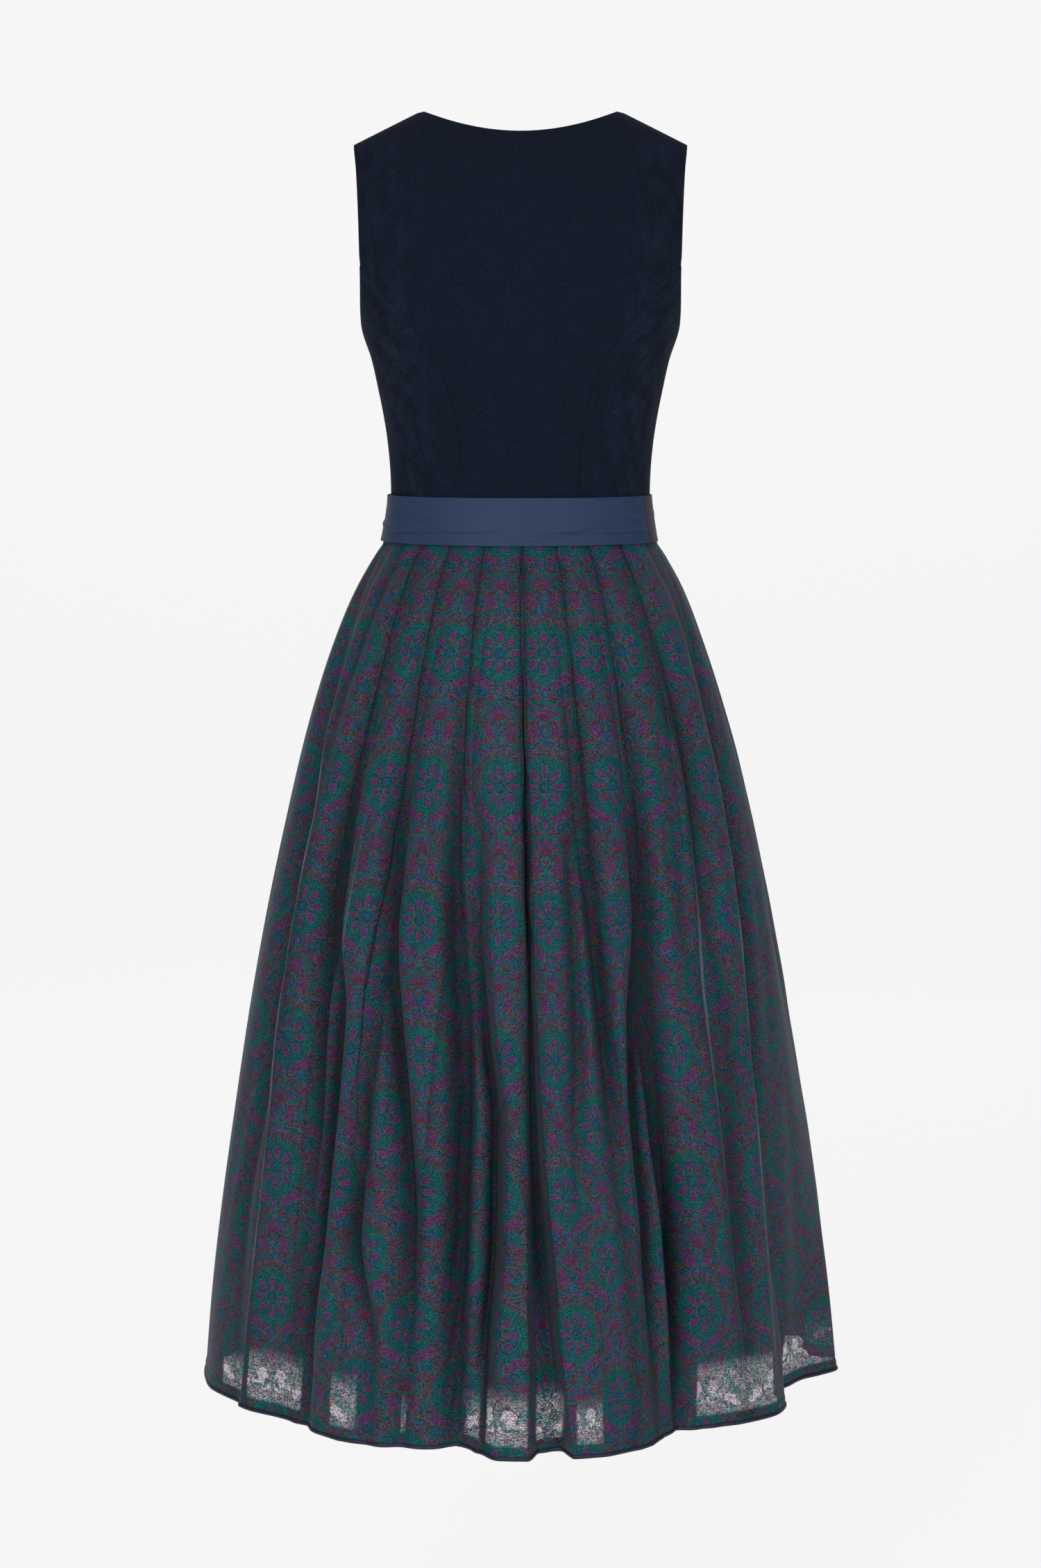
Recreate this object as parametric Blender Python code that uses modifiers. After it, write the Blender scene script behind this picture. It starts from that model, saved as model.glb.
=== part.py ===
"""A sleeveless dirndl: velvet bodice, pleated jacquard skirt, satin tie and apron, held out as if worn."""

import math

import bmesh
import bpy
from mathutils import Matrix, Vector

# All lengths are metres. Heights are measured up from the skirt's hem.
# The back of the dress faces -Y, and the wearer's right side is +X.
HELD_AT = 1.238            # middle of the shoulder seams, where the wearer carries the dress
SEAM_GAP = 0.0003          # between two pieces at a seam
SEAM_TRIM = 0.00028        # each panel's edge is drawn back this far, so the inner faces keep the gap
SHOULDER_TRIM = 0.00042    # the same at the shoulder seams, where the cloth turns over
VELVET_WALL = 0.0014
JACQUARD_WALL = 0.0014
LINING_WALL = 0.0010
SATIN_WALL = 0.0012
TAFFETA_WALL = 0.0010

# Heights of the cut
WAIST_SEAM = 0.852
TIE_BOTTOM = 0.839
TIE_TOP = 0.885
UNDERARM = 1.047
BACK_JUNCTION = 1.107      # where the back princess seam meets the armhole
FRONT_JUNCTION = 1.126
ARMHOLE_MIDDLE = 1.130
SHOULDER_TIP = 1.2215
NECK_PEAK = 1.254
BACK_NECK = 1.232
FRONT_NECK = 1.140
APRON_HEM = 0.045
LINING_HEM = 0.050
BINDING_TOP = 0.004

BINDING_PROUD = 0.0004     # the binding stands out this far on each side of the hem

# The lining is a plain flared skirt. It lies this far inside the pleated one at the waist,
# and further in below: by the first fall times the share of the way down, and the second times its square.
LINING_IN = 0.0050
LINING_FALLS = (0.016, 0.052)
LINING_SIDES = 36

# Half widths of the cut
NECK_HALF = 0.0953
TIP_HALF = 0.1612
ARMHOLE_REACH = 0.45       # how far the armhole cuts in, as a share of the body's depth
BACK_CLOSING = 1.107       # above this the back leans in to the shoulder seam
FRONT_CLOSING = 1.075

# Bust shaping of the front, over the two cups
BUST_RISE = 0.010
BUST_HEIGHT = 1.042
BUST_OFFSET = 0.078
BUST_SPREAD = 0.046

# The body under the bodice, one row for each section
BODY_COLUMNS = ("height", "half_width", "back_depth", "front_depth", "squareness")
BODY = (
    (0.839, 0.1337, 0.0950, 0.0960, 2.05),
    (0.852, 0.1311, 0.0925, 0.0935, 2.10),
    (0.866, 0.1287, 0.0900, 0.0915, 2.10),
    (0.885, 0.1268, 0.0882, 0.0900, 2.10),
    (0.907, 0.1274, 0.0880, 0.0905, 2.10),
    (0.934, 0.1297, 0.0892, 0.0935, 2.12),
    (0.961, 0.1336, 0.0918, 0.0985, 2.16),
    (0.988, 0.1389, 0.0950, 0.1060, 2.20),
    (1.015, 0.1448, 0.0980, 0.1130, 2.25),
    (1.047, 0.1547, 0.1008, 0.1180, 2.30),
    (1.100, 0.1600, 0.1025, 0.1170, 2.35),
    (1.160, 0.1600, 0.1010, 0.1120, 2.40),
    (1.254, 0.1600, 0.0985, 0.1060, 2.40),
)

# Free edge of the armhole, seen from behind
ARMHOLE_COLUMNS = ("height", "half_width")
ARMHOLE = (
    (1.047, 0.1547),
    (1.061, 0.1549),
    (1.095, 0.1544),
    (1.128, 0.1550),
    (1.161, 0.1561),
    (1.194, 0.1580),
    (1.2215, 0.1612),
)

# Princess seams, from the waist seam up to the armhole
SEAM_COLUMNS = ("height", "half_width")
BACK_SEAM = (
    (0.852, 0.0580),
    (0.891, 0.0575),
    (0.932, 0.0590),
    (0.967, 0.0640),
    (0.999, 0.0746),
    (1.028, 0.0880),
    (1.050, 0.1060),
    (1.073, 0.1270),
    (1.094, 0.1450),
    (1.107, 0.1546),
)
FRONT_SEAM = (
    (0.852, 0.0660),
    (0.893, 0.0620),
    (0.950, 0.0660),
    (1.000, 0.0760),
    (1.040, 0.0880),
    (1.070, 0.1020),
    (1.095, 0.1220),
    (1.115, 0.1430),
    (1.126, 0.1550),
)

# The skirt's sections without its pleats
SKIRT_COLUMNS = ("height", "half_width", "back_depth", "front_depth")
SKIRT = (
    (0.000, 0.3170, 0.2620, 0.2500),
    (0.090, 0.3095, 0.2585, 0.2465),
    (0.196, 0.2965, 0.2495, 0.2380),
    (0.300, 0.2800, 0.2355, 0.2250),
    (0.410, 0.2603, 0.2190, 0.2090),
    (0.515, 0.2403, 0.2020, 0.1930),
    (0.619, 0.2166, 0.1810, 0.1740),
    (0.685, 0.1982, 0.1650, 0.1590),
    (0.757, 0.1744, 0.1435, 0.1390),
    (0.791, 0.1605, 0.1280, 0.1250),
    (0.825, 0.1424, 0.1060, 0.1050),
    (0.839, 0.1337, 0.0950, 0.0960),
    (0.852, 0.1311, 0.0925, 0.0935),
)

# The skirt's creases. Each row is one crest or valley that runs from the waist to the hem:
# its angle from centre back in degrees at each level, and how far it stands out in millimetres.
LEVELS = (0.852, 0.700, 0.570, 0.420, 0.210, 0.000)
CREASE_COLUMNS = ("name", "angles", "rises")
BACK_CREASES = (
    ("left side", (-90, -90, -90, -90, -90, -90), (0, 4, 3, 4, 1, 2)),
    ("left side allowance", (-88.6, -88.6, -88.6, -88.6, -88.6, -88.6), (0, 4, 3, 4, 1, 2)),
    ("left side face", (-85, -80, -76, -76, -76, -76), (0, 4, 4, 4, 3, 1)),
    ("fourth left edge", (-81, -71, -62, -62.5, -61, -62), (0, 4, 6, 4, 0, -5)),
    ("fourth left tuck", (-78, -69.3, -60, -60, -57.5, -57), (-2.5, -3, -4, -7, -10, -13)),
    ("third left edge", (-46.5, -47.4, -54, -56, -51, -49), (0, 4, 2, -6, -12, -17)),
    ("third left tuck", (-45, -46, -51.5, -50, -46.5, -45), (-2.5, -3, -5, -6, -9, -14)),
    ("third left ridge", (-38, -39, -41, -42.5, -41.5, -40), (-1, 0, 1, 4, 0, -6)),
    ("second left edge", (-31, -31.4, -33, -35.3, -34, -32), (0, 4, 5, 2, 1, 3)),
    ("second left tuck", (-29.5, -30, -31.3, -32.5, -28, -26), (-2.5, -3, -4, -2, 3, 5)),
    ("first left edge", (-15.4, -15.4, -15, -17, -19, -20), (0, 4, 6, 2, -2, -1)),
    ("first left tuck", (-13.9, -14, -12, -9, -6.3, -9.5), (-2.5, -3, -9, -10, -9, -11)),
    ("centre left face", (-7, -7, -6.5, -5.5, -4, -5.2), (-1, 0, 1, 1, 5, 18)),
    ("centre left edge", (-0.4, -0.2, 0.4, 1.1, 1.2, 1.2), (0, 3, 6, 8, 13, 20)),
    ("centre left tuck", (0.3, 0.5, 1.2, 1.9, 2.3, 3.2), (-3, -5, -7, -7, -4, -2)),
    ("centre right tuck", (0.8, 1.0, 1.7, 2.4, 4.3, 7.2), (-3, -5, -7, -7, -6, -4)),
    ("centre right edge", (1.5, 1.7, 2.4, 3.1, 5.5, 8.4), (0, 3, 6, 7, 12, 17)),
    ("centre right face", (8, 8, 9, 10, 12.5, 14), (-1, 0, 0, 2, 7, 14)),
    ("first right tuck", (13.8, 14.5, 15.7, 17.5, 19, 19.5), (-2.5, -3, -4, -1, 3, 5)),
    ("first right edge", (15.2, 16, 17.2, 19.3, 22, 23), (0, 4, 5, 3, 1, 0)),
    ("second right tuck", (28.6, 28.4, 28.8, 25.7, 26.5, 29.5), (-2.5, -3, -5, -4, -12, -25)),
    ("second right edge", (30, 29.8, 30.5, 29.5, 32, 36), (0, 4, 4, -6, -16, -28)),
    ("third right tuck", (45.6, 45, 47.5, 37, 38.5, 40), (-2.5, -3, -4, -3, -11, -23)),
    ("third right edge", (47.2, 46.6, 50, 42, 44, 47), (0, 4, 2, 2, -4, -13)),
    ("fourth right edge", (65.8, 63.7, 60.3, 57.4, 53.2, 56.5), (0, 5, 6, 5, 1, -10)),
    ("fourth right tuck", (67.6, 65.6, 62.6, 61, 62, 70), (-2.5, -3, -5, -10, -26, -48)),
    ("right side face", (79, 78, 77, 77, 79, 81), (-1, 0, 1, -2, -12, -31)),
    ("right side allowance", (88.6, 88.6, 88.6, 88.6, 88.6, 88.6), (0, -3, -2, -3, -1, 3)),
    ("right side", (90, 90, 90, 90, 90, 90), (0, -3, -2, -3, -1, 3)),
)

# The front is hidden in the photograph. It has plain knife pleats that turn away from centre front.
FRONT_PLEATS = 10          # spread evenly from side seam to side seam
FRONT_TUCK = 2.4           # degrees from a pleat's edge to its tuck
SIDE_ALLOWANCE = 1.4       # degrees of plain cloth beside a side seam
FRONT_EDGE_RISES = (0, 2, 3, 4, 5, 6)
FRONT_TUCK_RISES = (-2, -3, -4, -7, -11, -15)

# Rows of the skirt, and how wide a strip may be between two creases
SKIRT_ROWS = (
    0.8517, 0.8387, 0.812, 0.780, 0.735, 0.680, 0.615,
    0.545, 0.470, 0.385, 0.290, 0.190, 0.090, 0.004,
)
STRIP_WIDTH = 0.031
STRIP_MOST = 4
CRISPNESS = 0.6            # how much straighter than at the hem a strip lies at the waist

# Tie, apron and bow
TIE_CLEAR = 0.00070        # from the dress to the tie that lies on it
TIE_SEAM_ANGLE = 68.0      # where the satin tie is sewn to the apron's waistband
BAND_END_ANGLE = -70.0     # the waistband's other end, under the tie
TIE_CLIMB = (-50.0, -62.0)   # where the tie rises over the waistband's end
STRAP_STEPS = 40
APRON_BAND_CLEAR = 0.0001  # the apron's cloth lies this far under the face of its waistband
BOW_ANGLE = -155.0
BOW_HEIGHT = 0.862
KNOT_SIZE = (0.018, 0.026, 0.013)
KNOT_CAGE = 1.25           # the knot's cage is larger, since its corners are rounded off
LOOP_LENGTH = 0.060
LOOP_START = 0.0100
LOOP_FLARE = 0.021
LOOP_PINCH = 0.008
LOOP_DROOP = 0.016
LOOP_DEPTH = 0.008
LOOP_CLEAR = 0.0018        # from the tie to the loops that lie over it
LOOP_STEPS = 14
LOOP_ACROSS = (-1.0, -0.4, 0.4, 1.0)
# Each end starts at its top, which is measured down from the middle of the knot.
END_COLUMNS = ("name", "top", "lean", "length", "layer")
BOW_ENDS = (
    ("bow_end_left", 0.0121, 0.020, 0.36, 0.0095),
    ("bow_end_right", 0.0123, -0.016, 0.33, 0.0125),
)
END_WIDTH = 0.046
END_PINCH = 0.016
END_STEPS = 10
END_ACROSS = (-1.0, -0.35, 0.35, 1.0)
APRON_LIFT = 0.0034
APRON_FIRST = 3            # front creases that the apron's two edges follow, from each side

# Placket and buttons
PLACKET_WIDTH = 0.024
PLACKET_CLEAR = 0.0006
PLACKET_ROWS = 14
PLACKET_ENDS = (0.0020, 0.0015)    # short of the waistband and of the neckline
BUTTON_ENDS = (0.014, 0.016)       # from the placket's ends to the first and the last button
BUTTON_SIDES = 14
BUTTONS = 7
BUTTON_RADIUS = 0.0065
BUTTON_THICK = 0.0034
BUTTON_CLEAR = 0.0005

# Colours from the photograph, linear red, green, blue
MATERIALS = {
    "velvet": ((0.006, 0.010, 0.024), 0.85),
    "jacquard": ((0.020, 0.060, 0.055), 0.60),
    "satin": ((0.024, 0.048, 0.115), 0.35),
    "taffeta": ((0.025, 0.022, 0.030), 0.55),
    "lining": ((0.012, 0.012, 0.020), 0.60),
    "binding": ((0.010, 0.012, 0.035), 0.55),
    "button": ((0.010, 0.014, 0.030), 0.30),
}


# Tables and curves
def spread(start, end, count):
    """Even places from start to end."""
    return [start + (end - start) * i / count for i in range(count + 1)]


def smooth_curve(places, values):
    """A curve through the table's values that never swings past them."""
    pairs = sorted(zip(places, values))
    xs = [float(pair[0]) for pair in pairs]
    ys = [float(pair[1]) for pair in pairs]
    steps = [(ys[i + 1] - ys[i]) / (xs[i + 1] - xs[i]) for i in range(len(xs) - 1)]
    slopes = [steps[0]]
    for before, after in zip(steps, steps[1:]):
        turning = before * after <= 0.0
        slopes.append(0.0 if turning else 2.0 * before * after / (before + after))
    slopes.append(steps[-1])

    def value(x):
        x = min(max(x, xs[0]), xs[-1])
        i = 0
        while i < len(xs) - 2 and x > xs[i + 1]:
            i += 1
        span = xs[i + 1] - xs[i]
        t = (x - xs[i]) / span
        start = (1 + 2 * t) * (1 - t) ** 2 * ys[i] + t * (1 - t) ** 2 * span * slopes[i]
        end = t * t * (3 - 2 * t) * ys[i + 1] + t * t * (t - 1) * span * slopes[i + 1]
        return start + end

    return value


def column_curve(table, columns, name):
    """The smooth curve of one named column against the table's first column."""
    place = columns.index(name)
    return smooth_curve([row[0] for row in table], [row[place] for row in table])


body_width = column_curve(BODY, BODY_COLUMNS, "half_width")
body_back = column_curve(BODY, BODY_COLUMNS, "back_depth")
body_front = column_curve(BODY, BODY_COLUMNS, "front_depth")
body_square = column_curve(BODY, BODY_COLUMNS, "squareness")
armhole_width = column_curve(ARMHOLE, ARMHOLE_COLUMNS, "half_width")
back_seam_width = column_curve(BACK_SEAM, SEAM_COLUMNS, "half_width")
front_seam_width = column_curve(FRONT_SEAM, SEAM_COLUMNS, "half_width")
skirt_width = column_curve(SKIRT, SKIRT_COLUMNS, "half_width")
skirt_back = column_curve(SKIRT, SKIRT_COLUMNS, "back_depth")
skirt_front = column_curve(SKIRT, SKIRT_COLUMNS, "front_depth")


# The bodice's surface
def armhole_share(height):
    """How far round towards the side the armhole's edge lies: 0 at the underarm."""
    if height <= UNDERARM:
        return 0.0
    if height >= ARMHOLE_MIDDLE:
        return ARMHOLE_REACH
    drop = (ARMHOLE_MIDDLE - height) / (ARMHOLE_MIDDLE - UNDERARM)
    return ARMHOLE_REACH * math.sqrt(1.0 - drop * drop)


def ring_width(height):
    """Half width of the ring that the bodice follows; above the underarm it runs on past the armhole."""
    if height <= UNDERARM:
        return body_width(height)
    power = body_square(height)
    return armhole_width(height) / (1.0 - armhole_share(height) ** power) ** (1.0 / power)


def shoulder_line(x):
    """Height of the shoulder seam above a place x across the body."""
    beyond = max(abs(x) - NECK_HALF, 0.0)
    return NECK_PEAK - beyond * (NECK_PEAK - SHOULDER_TIP) / (TIP_HALF - NECK_HALF)


def body_point(angle, height):
    """Outer face of the bodice at an angle in degrees from centre back."""
    turn = math.radians(angle)
    sine = math.sin(turn)
    at_back = math.cos(turn) >= 0.0
    power = body_square(height)
    x = ring_width(height) * sine
    depth = body_back(height) if at_back else body_front(height)
    out = depth * max(1.0 - abs(sine) ** power, 0.0) ** (1.0 / power)
    closing = BACK_CLOSING if at_back else FRONT_CLOSING
    if height > closing:
        climb = min((height - closing) / (shoulder_line(x) - closing), 1.0)
        out *= math.sqrt(1.0 - climb * climb)
    if not at_back:
        across = (abs(x) - BUST_OFFSET) / BUST_SPREAD
        along = (height - BUST_HEIGHT) / BUST_SPREAD
        out += BUST_RISE * math.exp(-across * across - along * along) * min(out / depth * 2.0, 1.0)
    if height > UNDERARM:
        out += SHOULDER_TRIM
    return Vector((x, -out if at_back else out, height - HELD_AT))


NORMAL_TURN = 0.5          # degrees, and metres, to the neighbours that give a surface's direction
NORMAL_RISE = 0.001


def surface_normal(point_of, angle, height):
    """Outward direction of a surface of angle and height, from its neighbours."""
    across = point_of(angle + NORMAL_TURN, height) - point_of(angle - NORMAL_TURN, height)
    up = point_of(angle, height + NORMAL_RISE) - point_of(angle, height - NORMAL_RISE)
    return across.cross(up).normalized()


def angle_of(width, height):
    """Angle at which the ring at this height has the half width given."""
    return math.degrees(math.asin(min(width / ring_width(height), 1.0)))


def armhole_angle(height):
    """Angle of the armhole's edge at this height: 90 at the underarm."""
    power = body_square(height)
    return math.degrees(math.asin((1.0 - armhole_share(height) ** power) ** (1.0 / power)))


# The skirt's surface
def front_creases():
    """Edges and tucks of the front's plain pleats, from the right side seam round to the left one."""
    level = len(LEVELS)
    rises = CREASE_COLUMNS.index("rises")
    right = BACK_CREASES[-1][rises]
    left = BACK_CREASES[0][rises]
    rows = [("front right side", (90,) * level, right)]
    rows.append(("front right allowance", (90 + SIDE_ALLOWANCE,) * level, right))
    pitch = 180.0 / FRONT_PLEATS
    for pleat in range(FRONT_PLEATS):
        middle = 90.0 + pitch * (pleat + 0.5)
        turned = -0.5 if middle < 180.0 else 0.5
        edge = ("front edge %d" % pleat, (middle + turned * FRONT_TUCK,) * level, FRONT_EDGE_RISES)
        tuck = ("front tuck %d" % pleat, (middle - turned * FRONT_TUCK,) * level, FRONT_TUCK_RISES)
        rows += [edge, tuck] if turned < 0 else [tuck, edge]
    rows.append(("front left allowance", (270 - SIDE_ALLOWANCE,) * level, left))
    rows.append(("front left side", (270,) * level, left))
    return rows


def crease_lines(rows):
    """Each crease as two smooth curves of height: its angle and its rise."""
    lines = []
    for row in rows:
        angles = row[CREASE_COLUMNS.index("angles")]
        rises = [rise / 1000.0 for rise in row[CREASE_COLUMNS.index("rises")]]
        lines.append((smooth_curve(LEVELS, angles), smooth_curve(LEVELS, rises)))
    return lines


def skirt_point(angle, height, rise):
    """A point of the skirt: on its plain section, moved out by the rise."""
    turn = math.radians(angle)
    depth = skirt_back(height) if math.cos(turn) >= 0.0 else skirt_front(height)
    flat = Vector((skirt_width(height) * math.sin(turn), -depth * math.cos(turn), 0.0))
    place = flat + flat.normalized() * rise
    place.z = height - HELD_AT
    return place


def strips_between(lines):
    """How many strips of mesh lie between each crease and the next."""
    counts = []
    for (angle_a, _), (angle_b, _) in zip(lines, lines[1:]):
        widest = 0.0
        for height in LEVELS:
            turn = math.radians(angle_b(height) - angle_a(height))
            widest = max(widest, turn * skirt_width(height))
        counts.append(max(1, min(STRIP_MOST, round(widest / STRIP_WIDTH))))
    return counts


def pleated_row(lines, counts, height, lift):
    """One row of the pleated cloth: creases, and the strips between them."""
    softness = 1.0 - CRISPNESS * height / WAIST_SEAM
    row = []
    for index, count in enumerate(counts):
        angle_a, rise_a = (curve(height) for curve in lines[index])
        angle_b, rise_b = (curve(height) for curve in lines[index + 1])
        for strip in range(count):
            t = strip / count
            eased = t + softness * (t * t * (3.0 - 2.0 * t) - t)
            rise = rise_a + (rise_b - rise_a) * eased
            row.append(skirt_point(angle_a + (angle_b - angle_a) * t, height, rise + lift))
    last_angle, last_rise = lines[-1]
    row.append(skirt_point(last_angle(height), height, last_rise(height) + lift))
    return row


# Objects
def material(name):
    """The Principled material of one cloth."""
    made = bpy.data.materials.get(name)
    if made is None:
        colour, roughness = MATERIALS[name]
        made = bpy.data.materials.new(name)
        made.use_nodes = True
        shader = made.node_tree.nodes["Principled BSDF"]
        shader.inputs["Base Color"].default_value = (*colour, 1.0)
        shader.inputs["Roughness"].default_value = roughness
    return made


def add_object(name, mesh, cloth):
    """An object with its own material, in the garment's collection."""
    piece = bpy.data.objects.new(name, mesh)
    garment.objects.link(piece)
    mesh.materials.append(material(cloth))
    return piece


def add_cloth(name, rows, cloth, wall, closed=False):
    """Open surface through rows of points, made a wall by Solidify on its inner side."""
    mesh = bpy.data.meshes.new(name)
    shape = bmesh.new()
    grid = [[shape.verts.new(point) for point in row] for row in rows]
    across = len(grid[0])
    for lower, upper in zip(grid, grid[1:]):
        for i in range(across if closed else across - 1):
            j = (i + 1) % across
            shape.faces.new((lower[i], lower[j], upper[j], upper[i]))
    shape.to_mesh(mesh)
    shape.free()
    mesh.shade_smooth()
    piece = add_object(name, mesh, cloth)
    solidify = piece.modifiers.new("wall", "SOLIDIFY")
    solidify.thickness = wall
    solidify.offset = -1.0
    return piece


def trim_seams(rows, left=True, right=True, lower=False):
    """Draws the edges of a panel back from its seams."""
    for row in rows:
        if left:
            row[0] = row[0] + (row[1] - row[0]).normalized() * SEAM_TRIM
        if right:
            row[-1] = row[-1] + (row[-2] - row[-1]).normalized() * SEAM_TRIM
    if lower:
        rows[0] = [a + (b - a).normalized() * SEAM_TRIM for a, b in zip(rows[0], rows[1])]


def coons_patch(left, right, lower, upper, shares):
    """Fills four edges, each a list of angle and height pairs, with rows of pairs."""
    count = len(lower) - 1
    rows = []
    for j, v in enumerate(shares):
        row = []
        for i in range(count + 1):
            u = i / count
            pair = []
            for axis in (0, 1):
                sides = (1 - u) * left[j][axis] + u * right[j][axis]
                ends = (1 - v) * lower[i][axis] + v * upper[i][axis]
                corners = (1 - u) * (1 - v) * left[0][axis] + u * (1 - v) * right[0][axis]
                corners += (1 - u) * v * left[-1][axis] + u * v * right[-1][axis]
                pair.append(sides + ends - corners)
            row.append(tuple(pair))
        rows.append(row)
    return rows


# Bodice
LOW_ROWS = (WAIST_SEAM, 0.866, TIE_TOP)    # rows that the tie and the waistband share
SEAM_STEPS = 10
SHOULDER_STEPS = 7
SEAM_SHARE = 0.62          # share of a long panel's height that lies below the armhole junction
LAST_SHARE = 0.985         # the row beside the shoulder seam
LAST_SINE = 0.9985         # the same row, as the sine of how far the cloth has turned over
SEAM_CROWDING = 0.85
BACK_HALF_STEPS = 10
FRONT_HALF_STEPS = 9
SIDE_STEPS = 6
NECK_STEP_SHARE = 0.6      # share of a half's top steps that lie on the neckline


def seam_heights(junction):
    """Heights along a princess seam, closer together where it curves out to the armhole."""
    count = SEAM_STEPS - len(LOW_ROWS) + 1
    steps = [(i / count) ** SEAM_CROWDING for i in range(1, count + 1)]
    return list(LOW_ROWS) + [TIE_TOP + (junction - TIE_TOP) * step for step in steps]


def armhole_heights(junction):
    """Heights from the junction up to the shoulder, closer together where the cloth turns over."""
    turns = [0.5 * math.pi * i / SHOULDER_STEPS for i in range(1, SHOULDER_STEPS)]
    turns += [math.asin(LAST_SINE), 0.5 * math.pi]
    return [junction + (SHOULDER_TIP - junction) * math.sin(turn) for turn in turns]


def long_edge(seam_width, junction):
    """Seam and armhole edge of a centre panel, as angle and height pairs."""
    edge = [(angle_of(seam_width(height), height), height) for height in seam_heights(junction)[:-1]]
    edge.append((armhole_angle(junction), junction))
    edge += [(armhole_angle(height), height) for height in armhole_heights(junction)]
    return edge


def long_shares():
    """Share of the way up a centre panel for each of its rows."""
    seam = seam_heights(FRONT_JUNCTION)
    shares = [SEAM_SHARE * (height - seam[0]) / (seam[-1] - seam[0]) for height in seam]
    shares += [SEAM_SHARE + (1 - SEAM_SHARE) * i / SHOULDER_STEPS for i in range(1, SHOULDER_STEPS)]
    return shares + [LAST_SHARE + (1 - LAST_SHARE) * 0.5, 1.0]


def armhole_curve(junction, steps):
    """Armhole's lower edge from the princess seam down to the underarm."""
    start = math.asin(min(armhole_share(junction) / ARMHOLE_REACH, 1.0))
    curve = [(armhole_angle(junction), junction)]
    for i in range(1, steps):
        turn = start * (1.0 - i / steps)
        height = ARMHOLE_MIDDLE - (ARMHOLE_MIDDLE - UNDERARM) * math.cos(turn)
        curve.append((armhole_angle(height), height))
    curve.append((90.0, UNDERARM))
    return curve


def top_edge(neck_curve, half_steps, end_angle):
    """Neckline and shoulder seam of one half, from the centre out to the shoulder's tip."""
    edge = []
    neck_steps = round(NECK_STEP_SHARE * half_steps)
    for i in range(half_steps + 1):
        if i <= neck_steps:
            x, height = neck_curve(i / neck_steps)
        else:
            x = NECK_HALF + (TIP_HALF - NECK_HALF) * (i - neck_steps) / (half_steps - neck_steps)
            height = shoulder_line(x)
        edge.append((end_angle if i == half_steps else angle_of(x, height), height))
    return edge


def back_neck_curve(t):
    """Shallow curve of the back neckline."""
    return NECK_HALF * t, BACK_NECK + (NECK_PEAK - BACK_NECK) * t * t


def front_neck_curve(t):
    """Round scoop of the front neckline."""
    turn = 0.5 * math.pi * t
    return NECK_HALF * math.sin(turn), NECK_PEAK - (NECK_PEAK - FRONT_NECK) * math.cos(turn)


def panel_points(pairs, mirrored=False, front=False):
    """Points of a panel from its angle and height pairs, for the wearer's right or left side."""
    rows = []
    for row in pairs:
        made = []
        for angle, height in row:
            round_angle = 180.0 - angle if front else angle
            point = body_point(round_angle, height)
            if mirrored:
                point.x = -point.x
            made.append(point)
        if mirrored != front:
            made.reverse()
        rows.append(made)
    return rows


def add_bodice():
    """The seven velvet panels of the bodice."""
    back_edge = long_edge(back_seam_width, BACK_JUNCTION)
    front_edge = long_edge(front_seam_width, FRONT_JUNCTION)
    shares = long_shares()

    half = BACK_HALF_STEPS
    right_top = top_edge(back_neck_curve, half, back_edge[-1][0])
    top = [(-angle, height) for angle, height in reversed(right_top[1:])] + right_top
    reach = back_edge[0][0]
    bottom = [(reach * (i / half - 1.0), WAIST_SEAM) for i in range(2 * half + 1)]
    left_edge = [(-angle, height) for angle, height in back_edge]
    rows = panel_points(coons_patch(left_edge, back_edge, bottom, top, shares))
    trim_seams(rows, lower=True)
    add_cloth("bodice_back", rows, "velvet", VELVET_WALL)

    half = FRONT_HALF_STEPS
    front_top = top_edge(front_neck_curve, half, front_edge[-1][0])
    count = len(shares) - len(LOW_ROWS)
    centre = [(0.0, height) for height in LOW_ROWS]
    centre += [(0.0, TIE_TOP + (FRONT_NECK - TIE_TOP) * (i + 1) / count) for i in range(count)]
    bottom = [(front_edge[0][0] * i / half, WAIST_SEAM) for i in range(half + 1)]
    centre_pairs = coons_patch(centre, front_edge, bottom, front_top, shares)

    for side, mirrored in (("right", False), ("left", True)):
        rows = panel_points(centre_pairs, mirrored, front=True)
        trim_seams(rows, lower=True)
        add_cloth("bodice_front_" + side, rows, "velvet", VELVET_WALL)
        for place, edge, junction, front in (
            ("back", back_edge, BACK_JUNCTION, False),
            ("front", front_edge, FRONT_JUNCTION, True),
        ):
            inner = edge[:SEAM_STEPS + 1]
            outer = [(90.0, height) for height in seam_heights(UNDERARM)]
            steps = [(height - WAIST_SEAM) / (UNDERARM - WAIST_SEAM) for _, height in outer]
            upper = armhole_curve(junction, SIDE_STEPS)
            lower = [(angle, WAIST_SEAM) for angle in spread(inner[0][0], 90.0, SIDE_STEPS)]
            pairs = coons_patch(inner, outer, lower, upper, steps)
            rows = panel_points(pairs, mirrored, front)
            trim_seams(rows, lower=True)
            add_cloth("bodice_side_%s_%s" % (place, side), rows, "velvet", VELVET_WALL)


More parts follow.
